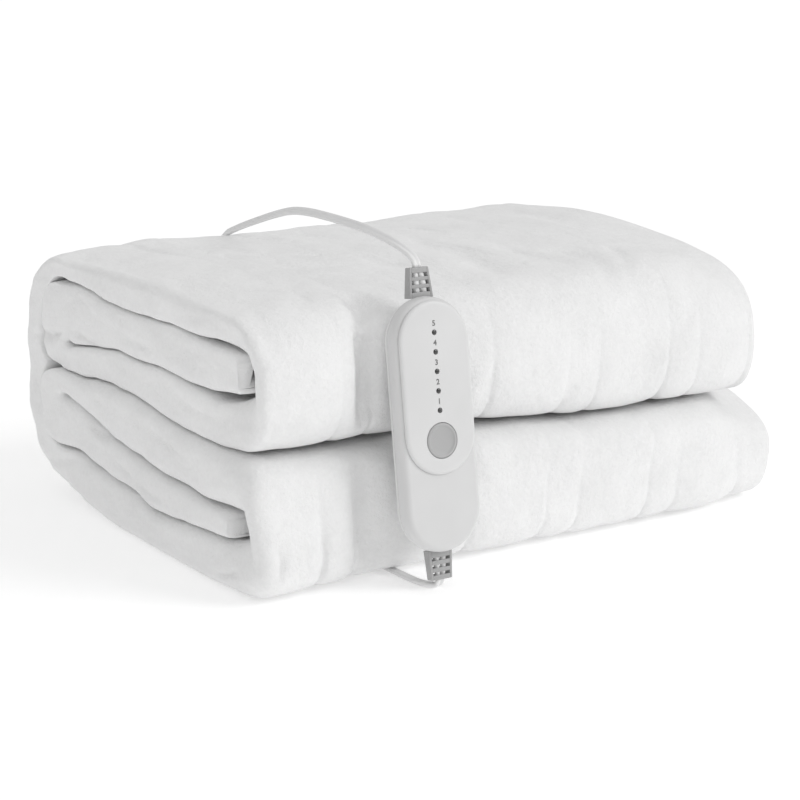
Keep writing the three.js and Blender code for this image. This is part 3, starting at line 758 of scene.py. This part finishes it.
def seam_places(lower):
    """Where the sewn lines lie, in the upper bundle (0) or the lower one (1), folded askew."""
    first = SEAMS["first"] + SEAMS["skew"] * lower
    pairs = [first + i * SEAMS["pitch"] for i in range(SEAMS["pairs"])]
    return [place + side for place in pairs for side in (0, SEAMS["channel"])] + [SEAMS["last"]]


def value_noise(x, y, seed, scale):
    """Smooth noise from -1 to 1 at each pair of places."""
    pairs = zip(np.ravel(x), np.ravel(y))
    flat = [noise.noise(Vector((a / scale, b / scale, seed * 7.31))) for a, b in pairs]
    return np.array(flat).reshape(np.shape(x)) * 1.6


def seam_strength(number, place):
    """How plainly the sewn lines show at each station: most on the low half of the front turns."""
    low_half = smooth((SEAM_FRONT["until"] - place) / SEAM_FRONT["over"])
    front = SEAM_FRONT["least"] + SEAM_FRONT["more"] * low_half
    strength = np.full(len(number), SEAM_FAINT)
    strength = np.where((number == UPPER_TURN) | (number == LOWER_TURN), front, strength)
    strength = np.where(number == SPINE, SEAM_BACK, strength)
    soften(strength, 8)
    return strength


def quilted_depth(x, distance, lines, strength):
    """How deep the sewn lines lie below a plain face, and how high the puff between them."""
    depth = np.zeros_like(x)
    pucker = value_noise(x * 0.3, distance, 9.0, 4.6)
    own_share = value_noise(x * 0 + 50, distance, 31.0, 60.0)
    for k, line in enumerate(lines):
        away = x - line
        own = 0.85 + 0.3 * math.sin(2.3 * k + 0.7) + 0.35 * own_share
        depth += strength * own * (strength * 1.5 * bell(away / 1.25) + 0.85 * bell(away / 5.0))
        depth += 0.3 * pucker * bell((np.abs(away) - 4.0) / 3.6) * strength
    bounds = [np.full_like(x, LEFT_START)] + lines
    for k, (start, end) in enumerate(zip(bounds, bounds[1:])):
        t = (x - start) / (end - start)
        inside = (t > 0) & (t < 1)
        crown = 1 - np.abs(2 * np.clip(t, 0, 1) - 1) ** 2.4
        wide = end - start > 35
        size = PANEL_PUFF * np.where(wide, 0.35, 0.3) * (0.3 if k == 0 else 1.0)
        depth -= np.where(inside, crown * size, 0) * strength
    return depth


# Creases that the seams don't make, each pressed in (+) or raised (-) along a line in the stack's
# own millimetres: points, depth, half width
CREASES = [
    # the top: long soft valleys and small folds that run from the back towards the front
    ([(105, 185, 167), (93, 129, 167), (87, 92, 166), (89, 68, 167), (84, 36, 166), (76, 4, 162)], 2.6, 5.5),
    ([(86, 52, 167), (81, 12, 164), (73, -8, 156), (71, -13, 140), (71, -13, 118), (72, -12, 86)], 10.5, 7.4),
    ([(70, -11, 156), (69, -13, 144), (68, -13, 122), (69, -13, 104), (69, -12, 88)], 6.4, 3.9),
    ([(73, -10, 154), (76, -13, 142), (76, -13, 128)], 1.5, 1.5),
    ([(60, 260, 166), (61, 228, 166), (71, 206, 166), (87, 187, 166)], 1.9, 3.2),
    ([(69, 200, 166), (69, 172, 166), (73, 140, 166)], 1.7, 4.0),
    ([(134, 246, 168), (137, 220, 168), (142, 193, 168)], 1.9, 3.0),
    ([(112, 154, 168), (130, 143, 168), (150, 135, 168)], 1.5, 3.2),
    ([(145, 136, 168), (148, 104, 168), (149, 75, 168)], 1.8, 3.4),
    ([(204, 168, 169), (202, 126, 169), (199, 89, 169), (190, 44, 169), (184, 10, 166)], 2.9, 7.5),
    ([(222, 96, 169), (232, 60, 169), (240, 22, 168)], 1.9, 5.0),
    ([(42, 262, 164), (46, 216, 166), (52, 172, 166)], 1.8, 4.0),
    ([(66, 80, 168), (50, 30, 166), (35, -6, 160)], 1.5, 5.0),
    ([(250, 74, 172), (256, 38, 172), (255, 14, 170), (243, -8, 158)], 2.2, 4.5),
    ([(293, 62, 172), (284, 36, 170), (270, 6, 164)], 1.7, 3.8),
    ([(216, 118, 170), (214, 62, 170), (214, 16, 166)], -1.6, 8.0),
    ([(168, 150, 169), (172, 100, 169), (170, 52, 169)], -1.5, 8.0),
    ([(330, 230, 174), (318, 150, 174), (312, 90, 172)], 1.9, 6.0),
    ([(284, 240, 172), (276, 190, 172), (280, 140, 172)], 1.7, 5.0),
    ([(96, 250, 166), (90, 200, 167), (98, 150, 167)], 1.3, 5.0),
    ([(222, 250, 168), (230, 190, 169), (226, 140, 170)], 1.6, 6.0),
    ([(172, 250, 168), (166, 214, 168), (172, 180, 168)], 1.5, 4.0),
    # the front turns: short folds that start at the gap
    ([(216, -14, 102), (212, -10, 88)], 1.6, 3.0),
    ([(283, -12, 98), (279, -9, 86)], 1.4, 2.8),
    ([(154, -12, 122), (147, -10, 90)], 1.2, 3.0),
    ([(62, -2, 78), (68, -9, 66), (70, -10, 46), (69, -9, 22), (68, -6, 4)], 6.0, 8.0),
    ([(62, -8, 68), (64, -9, 46), (63, -9, 22)], 1.6, 3.6),
    ([(48, -8, 66), (50, -10, 46), (49, -9, 20)], -1.6, 7.0),
    ([(39, -10, 46), (36, -10, 26), (34, -8, 6)], 1.6, 2.2),
    ([(3, -10, 104), (-1, -9, 98), (-4, -6, 90)], 1.8, 2.8),
    ([(-3, -12, 38), (-4, -14, 28), (-3, -13, 17)], 1.5, 2.4),
    ([(7, -14, 37), (1, -15, 27), (-3, -13, 17)], 1.3, 2.2),
    ([(14, -14, 40), (9, -16, 26), (4, -14, 12)], 0.9, 2.4),
    ([(352, -4, 62), (356, -6, 38), (350, -4, 10)], 1.3, 3.6),
    ([(192, -12, 38), (184, -10, 12)], 1.0, 3.0),
    ([(300, -10, 34), (296, -8, 14)], 0.9, 2.6),
]
# Creases at the left ends of the folds: points as depth and height, depth, half width
LEFT_CREASES = [
    ([(292, 106), (272, 107.5), (252, 111)], 3.0, 2.0),
    ([(231, 117), (213, 112), (196, 112)], 2.6, 2.2),
    ([(205, 59), (188, 57.5), (172, 58)], 2.6, 2.0),
    ([(284, 18), (250, 27), (217, 33)], 1.8, 2.8),
    ([(37, 7), (22, 11), (7, 15)], 2.2, 2.0),
    ([(118, 76), (96, 72), (74, 70)], 1.2, 2.8),
    ([(160, 128), (135, 124), (112, 125)], 1.2, 3.0),
    ([(86, 100), (62, 97), (40, 99)], 1.0, 3.0),
    ([(70, 152), (48, 155), (26, 154)], 1.2, 3.0),
    ([(240, 132), (222, 139), (206, 138)], 1.3, 2.8),
    ([(140, 40), (118, 37), (98, 39)], 1.2, 2.4),
    ([(278, 140), (262, 128), (258, 116)], 1.2, 3.2),
    ([(300, 78), (288, 66), (280, 48)], 1.4, 3.6),
    ([(168, 46), (150, 41), (136, 30)], 1.8, 2.4),
]


def onto_face(line, face, step=7.0):
    """The same line at even steps, each place moved to the nearest one on the face."""
    line = even(np.array(line, float), step)
    return np.array([face[np.argmin(((face - place) ** 2).sum(-1))] for place in line])


def crease_field(points, creases, face=None):
    """How deep the creases press at each point."""
    field = np.zeros(points.shape[:-1])
    for line, depth, width in creases:
        line = np.array(line, float) if face is None else onto_face(line, face)
        nearest = np.full(points.shape[:-1], 1e9)
        ends = np.zeros(points.shape[:-1])
        total = len(line) - 1
        for k in range(total):
            a, b = line[k], line[k + 1]
            d = b - a
            t = np.clip(((points - a) @ d) / (d @ d), 0, 1)
            away = np.linalg.norm(points - a - t[..., None] * d, axis=-1)
            closer = away < nearest
            nearest = np.where(closer, away, nearest)
            ends = np.where(closer, (k + t) / total, ends)
        fade = smooth(np.minimum(ends, 1 - ends) / 0.3 + 0.1)
        field += depth * bell(nearest / width) * fade
    return field


def left_face(points):
    """Wrinkles at the left ends of the folds: all layers move together, so none runs into another."""
    x, y, z = points[..., 0], points[..., 1], points[..., 2]
    near = 1 - smooth((x - 2) / LEFT_REACH)
    up = value_noise(y, z * 0.8, 41.0, 33.0) * 0.8 + value_noise(y, z, 43.0, 15.0) * 0.4
    inward = value_noise(y, z * 1.3, 47.0, 24.0) * 0.9 + value_noise(y * 0.6, z * 1.2, 53.0, 8.5) * 0.5
    for py, pz, deep, high, raise_by, press in LEFT_WAVES:
        share = bell((y - py) / deep) * bell((z - pz) / high)
        up = up + raise_by * share
        inward = inward + press * share

    # The top's edge moves less, the creases stay near the end, and the ground holds the lowest layer
    up = up * (1 - 0.8 * smooth((z - 148) / 10))
    rim = 1 - smooth((x - 1) / 14)
    inward = inward + crease_field(points[..., 1:], LEFT_CREASES) * rim
    ground = smooth(z / 12)
    return points + np.stack([inward * near * ground, np.zeros_like(x), up * near * ground], -1)


def with_free_ends(table, distance, strength):
    """Adds stations that close each ply towards its own middle at the strip's two free ends."""
    steps = FREE_END["steps"]
    angles = math.pi / 2 * (np.arange(steps) + 1) / steps
    offsets = FREE_END["reach"] * (1 - np.cos(angles))
    least = FREE_END["least"]
    squeezes = np.sqrt(np.maximum(1 - (1 - np.cos(angles)) ** 2, 0)) * (1 - least) + least
    head, tail = np.repeat(table[:1], steps, 0), np.repeat(table[-1:], steps, 0)
    for line in (OUTER, INNER, SQUARE):
        head[:, line.start] -= offsets[::-1]
        tail[:, line.start] -= offsets
    return (
        np.vstack([head, table, tail]),
        np.concatenate([distance[0] - offsets[::-1], distance, distance[-1] + offsets]),
        np.concatenate([np.zeros(steps), strength, np.zeros(steps)]),
        np.concatenate([squeezes[::-1], np.ones(len(table)), squeezes]),
    )


def outer_places(keys):
    """Columns over the outer face, which follow the sewn lines and are closest beside them."""
    places = []
    for k in range(len(keys) - 1):
        span = float((keys[k + 1] - keys[k]).mean())
        last = k == len(keys) - 2
        start = BESIDE_SEAM if k > 0 else BESIDE_FOLD
        end = [] if last else [span - b for b in BESIDE_SEAM[:0:-1]]
        to = span if last else end[0]
        steps = max(int(round((to - start[-1]) / COLUMN_STEP)), 1)
        middle = [start[-1] + (to - start[-1]) * i / steps for i in range(1, steps)]
        places += [keys[k] + (keys[k + 1] - keys[k]) * offset / span for offset in start + middle + end]
    return places + [keys[-1]]


def pad_columns(table, outer, half_slit, parting):
    """Round one station: places along x, and shares of the thickness from the outer face inwards."""
    recess, lower, _, _, _, _, power_out, power_in = table[:, 6:].T
    right = RIGHT_UPPER + (RIGHT_LOWER - RIGHT_UPPER) * lower - HEM
    columns = [(x, 0.0) for x in outer]

    def hem(low, high):
        for k in range(1, HEM_SIDES):
            angle = math.pi * k / HEM_SIDES - math.pi / 2
            share = (low + high) / 2 + (high - low) / 2 * math.sin(angle)
            columns.append((right + HEM * math.cos(angle) ** HEM_FULLNESS, share))

    # the hem of the outer ply, the slit between the plies, the hem of the inner ply
    slit_start = SLIT["start"] + SLIT["of_recess"] * recess - PARTING["left"] * parting
    slit = [slit_start + (right - slit_start) * s for s in np.linspace(0.012, 1, SLIT["columns"])]
    hem(0.0, 0.5 - half_slit)
    columns += [(x, 0.5 - half_slit) for x in slit[::-1]]
    columns += [(slit_start, 0.5)] + [(x, 0.5 + half_slit) for x in slit]
    hem(0.5 + half_slit, 1.0)

    # the inner face back to the left, and the fold there
    left = LEFT_START + recess
    columns += [(left + (right - left) * share, 1.0) for share in np.linspace(1, 0, INSIDE_COLUMNS) ** 1.5]
    for k in range(1, LEFT_SIDES):
        g = math.sin(LEFT_ARC * (1 - 2 * k / LEFT_SIDES)) / math.sin(LEFT_ARC)
        power = power_in if g > 0 else power_out
        c = np.sqrt(1 - abs(g) ** power)
        f = 0.5 + 0.5 * g
        x = LEFT_START - (LEFT_START - LEFT_MIDDLE) * c ** (2 / power)
        columns.append((x + LEFT_BELOW * lower * c + recess * f * f, f))
    both = [np.stack([np.broadcast_to(value, (len(table),)) for value in part], 1) for part in zip(*columns)]
    return both[0].astype(float), both[1].astype(float)


def outer_depth(X, distance, lines, strength, on_top):
    """How deep the outer face is drawn in: the sewn lines, and the roll of the top's left end."""
    far, *wide_lines = [np.broadcast_to(line[:, None], X.shape) for line in (distance, *lines)]
    roll = TOP_ROLL["down"] * (1 - smooth((X - TOP_ROLL["start"]) / TOP_ROLL["wide"]))
    return quilted_depth(X, far, wide_lines, strength[:, None]) + roll * on_top[:, None]


def press_creases(face, inwards, distance, show, edge):
    """Creases and lumps, pressed in along the outer face's own normal where it shows."""
    normal = np.cross(np.gradient(face, axis=0), np.gradient(face, axis=1))
    normal /= np.maximum(np.linalg.norm(normal, axis=-1, keepdims=True), 1e-9)
    sign = -np.sign((normal[..., 1:] * inwards[:, None]).sum(-1, keepdims=True))
    normal = normal * np.where(sign == 0, 1, sign)
    far = np.broadcast_to(distance[:, None], face.shape[:2])
    lumps = value_noise(face[..., 0] + face[..., 2] * 0.6, far, 17.0, 34.0) * 0.6
    lumps += value_noise(face[..., 0] * 1.3, far * 0.8, 23.0, 13.0) * 0.28
    pressed = crease_field(face, CREASES, face[show > 0.9].reshape(-1, 3)) - lumps
    return face - normal * (pressed * show[:, None] * edge)[..., None]


def pad_object():
    """The folded pad as one closed strip, from its stations and the columns round each of them."""
    table, distance, number = strip_stations()
    strength = seam_strength(number, table[:, PLACE])
    table, distance, strength, thin = with_free_ends(table, distance, strength)
    outer, inner, square = table[:, OUTER], table[:, INNER], table[:, SQUARE]
    _, lower, show, _, spare_out, spare_in, _, _ = table[:, 6:].T
    thickness = np.linalg.norm(inner - outer, axis=1)
    right = RIGHT_UPPER + (RIGHT_LOWER - RIGHT_UPPER) * lower

    # The sewn lines wander a little. The two plies part at the upper free end, beside their fold.
    wander = value_noise(lower * 300, distance, 3.0, 42.0) * SEAMS["wander"]
    lines = [up + (down - up) * lower + wander for up, down in zip(seam_places(0.0), seam_places(1.0))]
    columns = outer_places([np.full(len(table), LEFT_START)] + lines + [right - HEM])
    parting = 1 - smooth((distance - distance[0]) / PARTING["along"])
    half_slit = (SLIT["wide"] + PARTING["wider"] * parting) / thickness
    X, F = pad_columns(table, columns, half_slit, parting)
    face, fold = slice(0, len(columns)), slice(1 - LEFT_SIDES, None)

    # Each ply thins towards its own middle at the free ends
    ply_middle = ((0.5 - half_slit) / 2)[:, None]
    middle = np.where(F < 0.5, ply_middle, 1 - ply_middle)
    middle[:, fold] = ply_middle + (1 - 2 * ply_middle) * smooth((F[:, fold] - 0.2) / 0.6)
    F = middle + (F - middle) * thin[:, None]

    # The folds' left ends are pressed together, least at the front
    closing = (1 - smooth((X - 4) / 34)) * (0.35 + 0.6 * smooth((outer[:, 0] - 10) / 80))[:, None]
    F = F + closing * (F * (spare_in / thickness)[:, None] - (1 - F) * (spare_out / thickness)[:, None])

    on_top = smooth((outer[:, 1] - TOP_ROLL["z"]) / TOP_ROLL["high"]) * show
    sunk = np.zeros_like(X)
    sunk[:, face] = outer_depth(X[:, face], distance, lines, strength, on_top) * (show / thickness)[:, None]
    sunk[:, fold] = sunk[:, :1] * np.clip(1 - F[:, fold] / 0.55, 0, 1)
    softness = smooth((X - SHOULDER["start"]) / SHOULDER["wide"])[..., None]
    face_line = square[:, None] * (1 - softness) + outer[:, None] * softness
    section = face_line + (inner[:, None] - face_line) * (F + sunk)[..., None]
    points = left_face(warp(np.concatenate([X[..., None], section], -1)))
    edge = smooth((X[:, face] - LEFT_START + 4) / 6) * smooth((right[:, None] - X[:, face]) / 6)
    points[:, face] = press_creases(points[:, face], inner - outer, distance, show, edge)

    # The ground, and the groove that the pad's own lead lies in
    over_ground = (inner[:, 1] > outer[:, 1]) & (outer[:, 1] < GROOVE["roof"]) & (lower > 0.99)
    over_ground &= outer[:, 0] < GROOVE["end"]
    in_groove = (X > GROOVE["left"]) & (X < GROOVE["right"]) & over_ground[:, None]
    in_groove[:, len(columns):] = False
    points[..., 2] = np.maximum(points[..., 2], np.where(in_groove, GROOVE["roof"], 0.0))

    return solid_object("folded_pad", points, FLEECE, "cloth", node="pad")


pad = pad_object()


# ---------------------------------------------------------------- hand controller

# Where the controller stands and leans, its outline, and its parts, upwards from its lower end
FOOT = np.array([101.0, -35.65, 22.0])
LEAN, ROLL = 8.6, 0.4
LENGTH, WIDTH = 145.0, 51.0
PANEL_FOOT = 42.4
BUTTON_UP = 64.0
LAMP_UPS = [81.0 + i * 10.95 for i in range(5)]
NUMBER_OVER_LAMP, NUMBER_SIZE = 5.0, 4.3

# Heights of faces over the parting line, and the round holes in them
SHELL_FACE, PANEL_BASE, PANEL_FACE = 7.8, 8.1, 9.8
WELL = dict(radius=10.28, floor=4.4, sides=64)
LAMP_HOLE = dict(radius=1.6, floor=8.8, sides=24)

# Sections of the shell and the panel: height, and how far in from the outline. The shell has a
# fine groove at its parting line.
SHELL_BACK_SECTION = [
    (-9, 10), (-8.95, 8.2), (-8.6, 6.4), (-7.9, 4.8), (-6.9, 3.4), (-5.6, 2.2), (-4, 1.2), (-2.3, 0.5),
    (-0.8, 0.1),
]
SHELL_FRONT_SECTION = [
    (-0.5, 0.02), (-0.4, 0.22), (-0.2, 0.22), (-0.1, 0.05), (0.1, 0.04), (2, 0.15), (4.5, 0.45), (5.9, 0.9),
    (6.8, 1.5), (7.4, 2.3), (7.75, 3.2), (7.8, 4.2),
]
PANEL_SECTION = [(8.1, 2.5), (8.15, 2.3), (8.7, 2.4), (9.15, 2.7), (9.5, 3.2), (9.72, 3.9), (9.8, 4.8)]

lean_turn = Matrix.Rotation(math.radians(90 - LEAN), 3, "X")
controller_turn = lean_turn @ Matrix.Rotation(math.radians(-ROLL), 3, "Z")
CONTROLLER_TURN = np.array([list(row) for row in controller_turn])


def on_controller(points):
    """Points in the controller's own millimetres, moved to the row frame in metres."""
    return to_frame(np.asarray(points, float) @ CONTROLLER_TURN.T + FOOT)


def stadium_rings(low, high, section, arc=28):
    """Rings with round ends between two places up the controller, one for each row of a section."""
    rings = []
    for depth, inset in section:
        radius = WIDTH / 2 - inset
        ring = []
        for centre, start in ((high - WIDTH / 2, 0), (low + WIDTH / 2, math.pi)):
            for i in range(arc + 1):
                angle = start + math.pi * i / arc
                ring.append((radius * math.cos(angle), centre + radius * math.sin(angle), depth))
        rings.append(ring)
    return np.array(rings)


def circle(up, radius, depth, sides):
    """A round line about a place on the controller's middle line."""
    turns = [2 * math.pi * k / sides for k in range(sides)]
    return [(radius * math.cos(t), up + radius * math.sin(t), depth) for t in turns]


def add_circle(work, up, hole, depth):
    points = on_controller(circle(up, hole["radius"], depth, hole["sides"]))
    return [work.verts.new(Vector(point)) for point in points]


def fill_between(work, loops):
    """Triangles over a flat face between its rim and the holes in it."""
    edges = []
    for loop in loops:
        for a, b in zip(loop, loop[1:] + loop[:1]):
            edges.append(work.edges.get((a, b)) or work.edges.new((a, b)))
    bmesh.ops.triangle_fill(work, use_beauty=True, use_dissolve=False, edges=edges)


def add_wall(work, one, other):
    for corners in zip(one, one[1:] + one[:1], other[1:] + other[:1], other):
        work.faces.new(corners)


def shell_object():
    """Two moulded shells that meet at a fine parting line, with the button's well in the front."""
    rings = stadium_rings(0, LENGTH, SHELL_BACK_SECTION + SHELL_FRONT_SECTION)
    count, size = rings.shape[:2]
    faces = with_ends(rings_faces(count, size), count, size)[:-1]
    points = on_controller(rings.reshape(-1, 3))
    piece = mesh_object("controller_shell", points, faces, SHELL, "controller_body", node="controller_body")
    piece.data.materials.append(SHELL_BACK_PAINTED_LIGHT)
    work = bmesh.new()
    work.from_mesh(piece.data)
    work.verts.ensure_lookup_table()
    rim = work.verts[(count - 1) * size:count * size]
    mouth, foot = [add_circle(work, BUTTON_UP, WELL, depth) for depth in (SHELL_FACE, WELL["floor"])]
    fill_between(work, [rim, mouth])
    add_wall(work, mouth, foot)
    work.faces.new(foot)
    close_mesh(work, piece.data)
    sharpen(piece)
    # The back shell's faces take the lighter copy of the plastic: painted light on the side wall that lies in
    # shade.
    for polygon in piece.data.polygons:
        if max(polygon.vertices) < size * (len(SHELL_BACK_SECTION) + 1):
            polygon.material_index = 1


def panel_object():
    """The raised upper panel, with round wells for the lamps and the button."""
    rings = stadium_rings(PANEL_FOOT, LENGTH, PANEL_SECTION)
    count, size = rings.shape[:2]
    piece = mesh_object(
        "controller_panel_face", on_controller(rings.reshape(-1, 3)), rings_faces(count, size), PANEL,
        "controller_panel", node="controller_panel",
    )
    work = bmesh.new()
    work.from_mesh(piece.data)
    work.verts.ensure_lookup_table()
    low_rim, high_rim = work.verts[:size], work.verts[(count - 1) * size:count * size]
    button_foot = add_circle(work, BUTTON_UP, WELL, PANEL_BASE)
    fill_between(work, [low_rim, button_foot])
    button_mouth = add_circle(work, BUTTON_UP, WELL, PANEL_FACE)
    lamp_mouths = [add_circle(work, up, LAMP_HOLE, PANEL_FACE) for up in LAMP_UPS]
    fill_between(work, [high_rim, button_mouth, *lamp_mouths])
    add_wall(work, button_foot, button_mouth)
    for up, mouth in zip(LAMP_UPS, lamp_mouths):
        foot = add_circle(work, up, LAMP_HOLE, LAMP_HOLE["floor"])
        add_wall(work, mouth, foot)
        work.faces.new(foot)
    close_mesh(work, piece.data)
    sharpen(piece)


def turned_object(name, profile, up, sides, material, slot, body="stack", node=None):
    """A round piece from a profile of radius and height, standing on the controller."""
    rings = np.array([circle(up, radius, depth, sides) for radius, depth in profile])
    sharpen(solid_object(name, rings, material, slot, on_controller, body=body, node=node))


shell_object()
panel_object()

BUTTON_PROFILE = [
    (9.9, 5.7), (10, 5.8), (10, 9.5), (9.9, 9.85), (9.65, 10.1), (9.3, 10.22), (8.9, 10.25), (8.5, 10.2),
    (8.15, 10.0), (7.8, 9.75), (7.3, 9.58), (6, 9.42), (4, 9.3), (2, 9.24), (0.4, 9.22),
]
turned_object(
    "button_cap", BUTTON_PROFILE, BUTTON_UP, 72, BUTTON_GREY, "button", body="push_button", node="button",
)

LAMP_PROFILE = [(1.15, 9.1), (1.25, 9.2), (1.25, 9.6), (1.15, 9.78), (0.85, 9.9), (0.45, 9.97), (0.1, 10.0)]
for i, up in enumerate(LAMP_UPS, 1):
    turned_object(f"lamp_lens_{i}", LAMP_PROFILE, up, LAMP_HOLE["sides"], LENS, "lamp", node=f"lamp_{i}")


def number_object(i, up):
    """A plain number printed above its lamp, as thin raised ink."""
    text = bpy.data.curves.new(f"number_{i}_text", "FONT")
    text.body = str(i)
    text.size = NUMBER_SIZE
    text.align_x = "CENTER"
    text.align_y = "CENTER"
    text.extrude = 0.03
    text.offset = 0.1
    text.resolution_u = 6
    holder = bpy.data.objects.new(text.name, text)
    bpy.context.scene.collection.objects.link(holder)
    bpy.context.view_layer.update()
    mesh = bpy.data.meshes.new_from_object(holder.evaluated_get(bpy.context.evaluated_depsgraph_get()))
    bpy.data.objects.remove(holder)
    for vertex in mesh.vertices:
        x, y, z = vertex.co
        vertex.co = Vector(on_controller([(x, up + NUMBER_OVER_LAMP + y, PANEL_FACE + 0.04 + z)])[0])
    mesh.materials.clear()
    mesh.materials.append(INK)
    mesh.name = f"number_{i}"
    link_piece(mesh.name, mesh)


for i, up in enumerate(LAMP_UPS, 1):
    number_object(i, up)


# The two reliefs, from the shell outwards: two rails, ribs in front and behind, and blocks at both
# ends, as shares of the length, width and thickness. The lower one is fuller and has lower slots,
# which show less of the cores.
RELIEF = dict(length=17.2, wide=15.8, thick=6.0, thin=5.0, depth=-3.3, rail=0.79, rung=0.8, inner=0.62)
RELIEF_ENDS, RELIEF_ENDS_THICK, RELIEF_EDGE = ((0.0, 0.1), (0.93, 1.0)), 0.66, 0.42
TOP_RELIEF = dict(
    start=LENGTH - 0.9, direction=1, narrow=12.4, core=1.0,
    ribs=[(0.0, 0.19), (0.32, 0.44), (0.57, 0.69), (0.82, 1.0)],
)
BOTTOM_RELIEF = dict(
    start=0.9, direction=-1, narrow=13.9, core=0.82,
    ribs=[(0.0, 0.24), (0.34, 0.49), (0.59, 0.73), (0.83, 1.0)],
)

# The cores in a relief: place along it, how far both lie aside and apart, and their full radius
CORE_SECTION = [(0.02, 0.7, 2.4, 2.25), (0.5, 0.6, 2.25, 2.1), (0.8, 0.3, 1.85, 1.75), (0.985, 0, 1.4, 1.36)]
CORE_SIDES = 16
BOX_FACES = [(0, 1, 3, 2), (4, 6, 7, 5), (0, 4, 5, 1), (2, 3, 7, 6), (0, 2, 6, 4), (1, 5, 7, 3)]


def relief_object(name, kind, node):
    """An open ladder of ribs round the lead, tapering away from the shell."""
    work = bmesh.new()

    def block(ends, sides, shares):
        """A block between two places along, two shares of the width and two of the thickness."""
        verts = []
        for t in ends:
            wide = RELIEF["wide"] + (kind["narrow"] - RELIEF["wide"]) * t
            thick = RELIEF["thick"] + (RELIEF["thin"] - RELIEF["thick"]) * t
            y = kind["start"] + kind["direction"] * RELIEF["length"] * t
            for side in sides:
                for share in shares:
                    place = (side * wide / 2, y, RELIEF["depth"] + share * thick / 2)
                    verts.append(work.verts.new(Vector(place)))
        for corners in BOX_FACES:
            work.faces.new([verts[i] for i in corners])

    rail, rung, inner = RELIEF["rail"], RELIEF["rung"], RELIEF["inner"]
    for sides in ((-1, -rail), (rail, 1)):
        block((0, 1), sides, (-1, 1))
    for ends in kind["ribs"]:
        for shares in ((-1, -inner), (inner, 1)):
            block(ends, (-rung, rung), shares)
    for ends in RELIEF_ENDS:
        for sides in ((-rung, -inner), (inner, rung)):
            block(ends, sides, (-RELIEF_ENDS_THICK, RELIEF_ENDS_THICK))
    bmesh.ops.recalc_face_normals(work, faces=work.faces)
    edges = list(work.edges)
    bmesh.ops.bevel(work, geom=edges, offset=RELIEF_EDGE, segments=2, profile=0.6, affect="EDGES")
    for vertex, place in zip(work.verts, on_controller([tuple(v.co) for v in work.verts])):
        vertex.co = Vector(place)
    mesh = bpy.data.meshes.new(name)
    close_mesh(work, mesh)
    mesh.materials.append(RELIEF_GREY)
    sharpen(link_piece(name, mesh, node=node))


def core_object(name, kind):
    """The lead's two cores, spread a little inside the relief and seen through its slots."""
    points, faces = [], []
    for core in (-1, 1):
        base = len(points)
        for t, aside, apart, full_radius in CORE_SECTION:
            radius = full_radius * (kind["core"] + (1 - kind["core"]) * smooth((t - 0.7) / 0.28))
            y = kind["start"] + kind["direction"] * RELIEF["length"] * t
            for k in range(CORE_SIDES):
                angle = 2 * math.pi * k / CORE_SIDES
                x = aside + core * apart + radius * math.cos(angle)
                points.append((x, y, RELIEF["depth"] + radius * math.sin(angle)))
        count = len(CORE_SECTION)
        tube = with_ends(rings_faces(count, CORE_SIDES), count, CORE_SIDES)
        faces += [[base + i for i in face] for face in tube]
    mesh_object(name, on_controller(points), faces, LEAD_WHITE, "lead")


for end, kind in (("top", TOP_RELIEF), ("bottom", BOTTOM_RELIEF)):
    relief_object(f"relief_{end}_ladder", kind, f"relief_{end}")
for end, kind in (("top", TOP_RELIEF), ("bottom", BOTTOM_RELIEF)):
    core_object(f"relief_{end}_cores", kind)


# ---------------------------------------------------------------- stage and light

def floor_object():
    """A plain pale floor, a hair below the surface that the stack rests on."""
    mesh = bpy.data.meshes.new("floor")
    half = 60.0
    corners = [(-half, -half, 0), (half, -half, 0), (half, half, 0), (-half, half, 0)]
    mesh.from_pydata(corners, [], [(0, 1, 2, 3)])
    n = Nodes("floor_paint")
    n.set(Roughness=0.9, Specular_IOR_Level=0.1)
    n.link(n.ramp(n.noise(3.0), [(0.3, grey(0.88)), (0.7, grey(0.895))]), n.shader.inputs["Base Color"])
    n.set(Emission_Color=(1, 1, 1, 1), Emission_Strength=0.28)
    mesh.materials.append(n.material)
    floor = bpy.data.objects.new("floor", mesh)
    floor.location.z = -0.0002
    bpy.context.scene.collection.objects.link(floor)


floor_object()

# A white sky, darker towards the ground. Past the floor's far edge, low views show plain white
# instead of the sky that lights the scene.
world = bpy.data.worlds.new("studio")
bpy.context.scene.world = world
world.use_nodes = True
sky = world.node_tree
sky_light = sky.nodes["Background"]
place, parts, strength, seen, choice, light_path = [
    sky.nodes.new("ShaderNode" + kind)
    for kind in ("TexCoord", "SeparateXYZ", "MapRange", "Background", "MixShader", "LightPath")
]
strength.inputs["To Min"].default_value = 0.38
strength.inputs["To Max"].default_value = 0.87
for background in (sky_light, seen):
    background.inputs["Color"].default_value = (1, 1, 1, 1)
for source, target in (
    (place.outputs["Generated"], parts.inputs["Vector"]),
    (parts.outputs["Z"], strength.inputs["Value"]),
    (strength.outputs["Result"], sky_light.inputs["Strength"]),
    (light_path.outputs["Is Camera Ray"], choice.inputs["Fac"]),
    (sky_light.outputs["Background"], choice.inputs[1]),
    (seen.outputs["Background"], choice.inputs[2]),
    (choice.outputs["Shader"], sky.nodes["World Output"].inputs["Surface"]),
):
    sky.links.new(source, target)


def sun_light(name, place, angle, strength):
    data = bpy.data.lights.new(name, "SUN")
    data.angle = math.radians(angle)
    data.energy = strength
    light = bpy.data.objects.new(name, data)
    bpy.context.scene.collection.objects.link(light)
    light.location = place
    light.rotation_euler = (-Vector(place)).to_track_quat("-Z", "Y").to_euler()


sun_light("key", (2.5, -2.6, 2.2), 34, 0.99)

bpy.context.scene.view_settings.view_transform = "Standard"
bpy.context.scene.view_settings.look = "None"
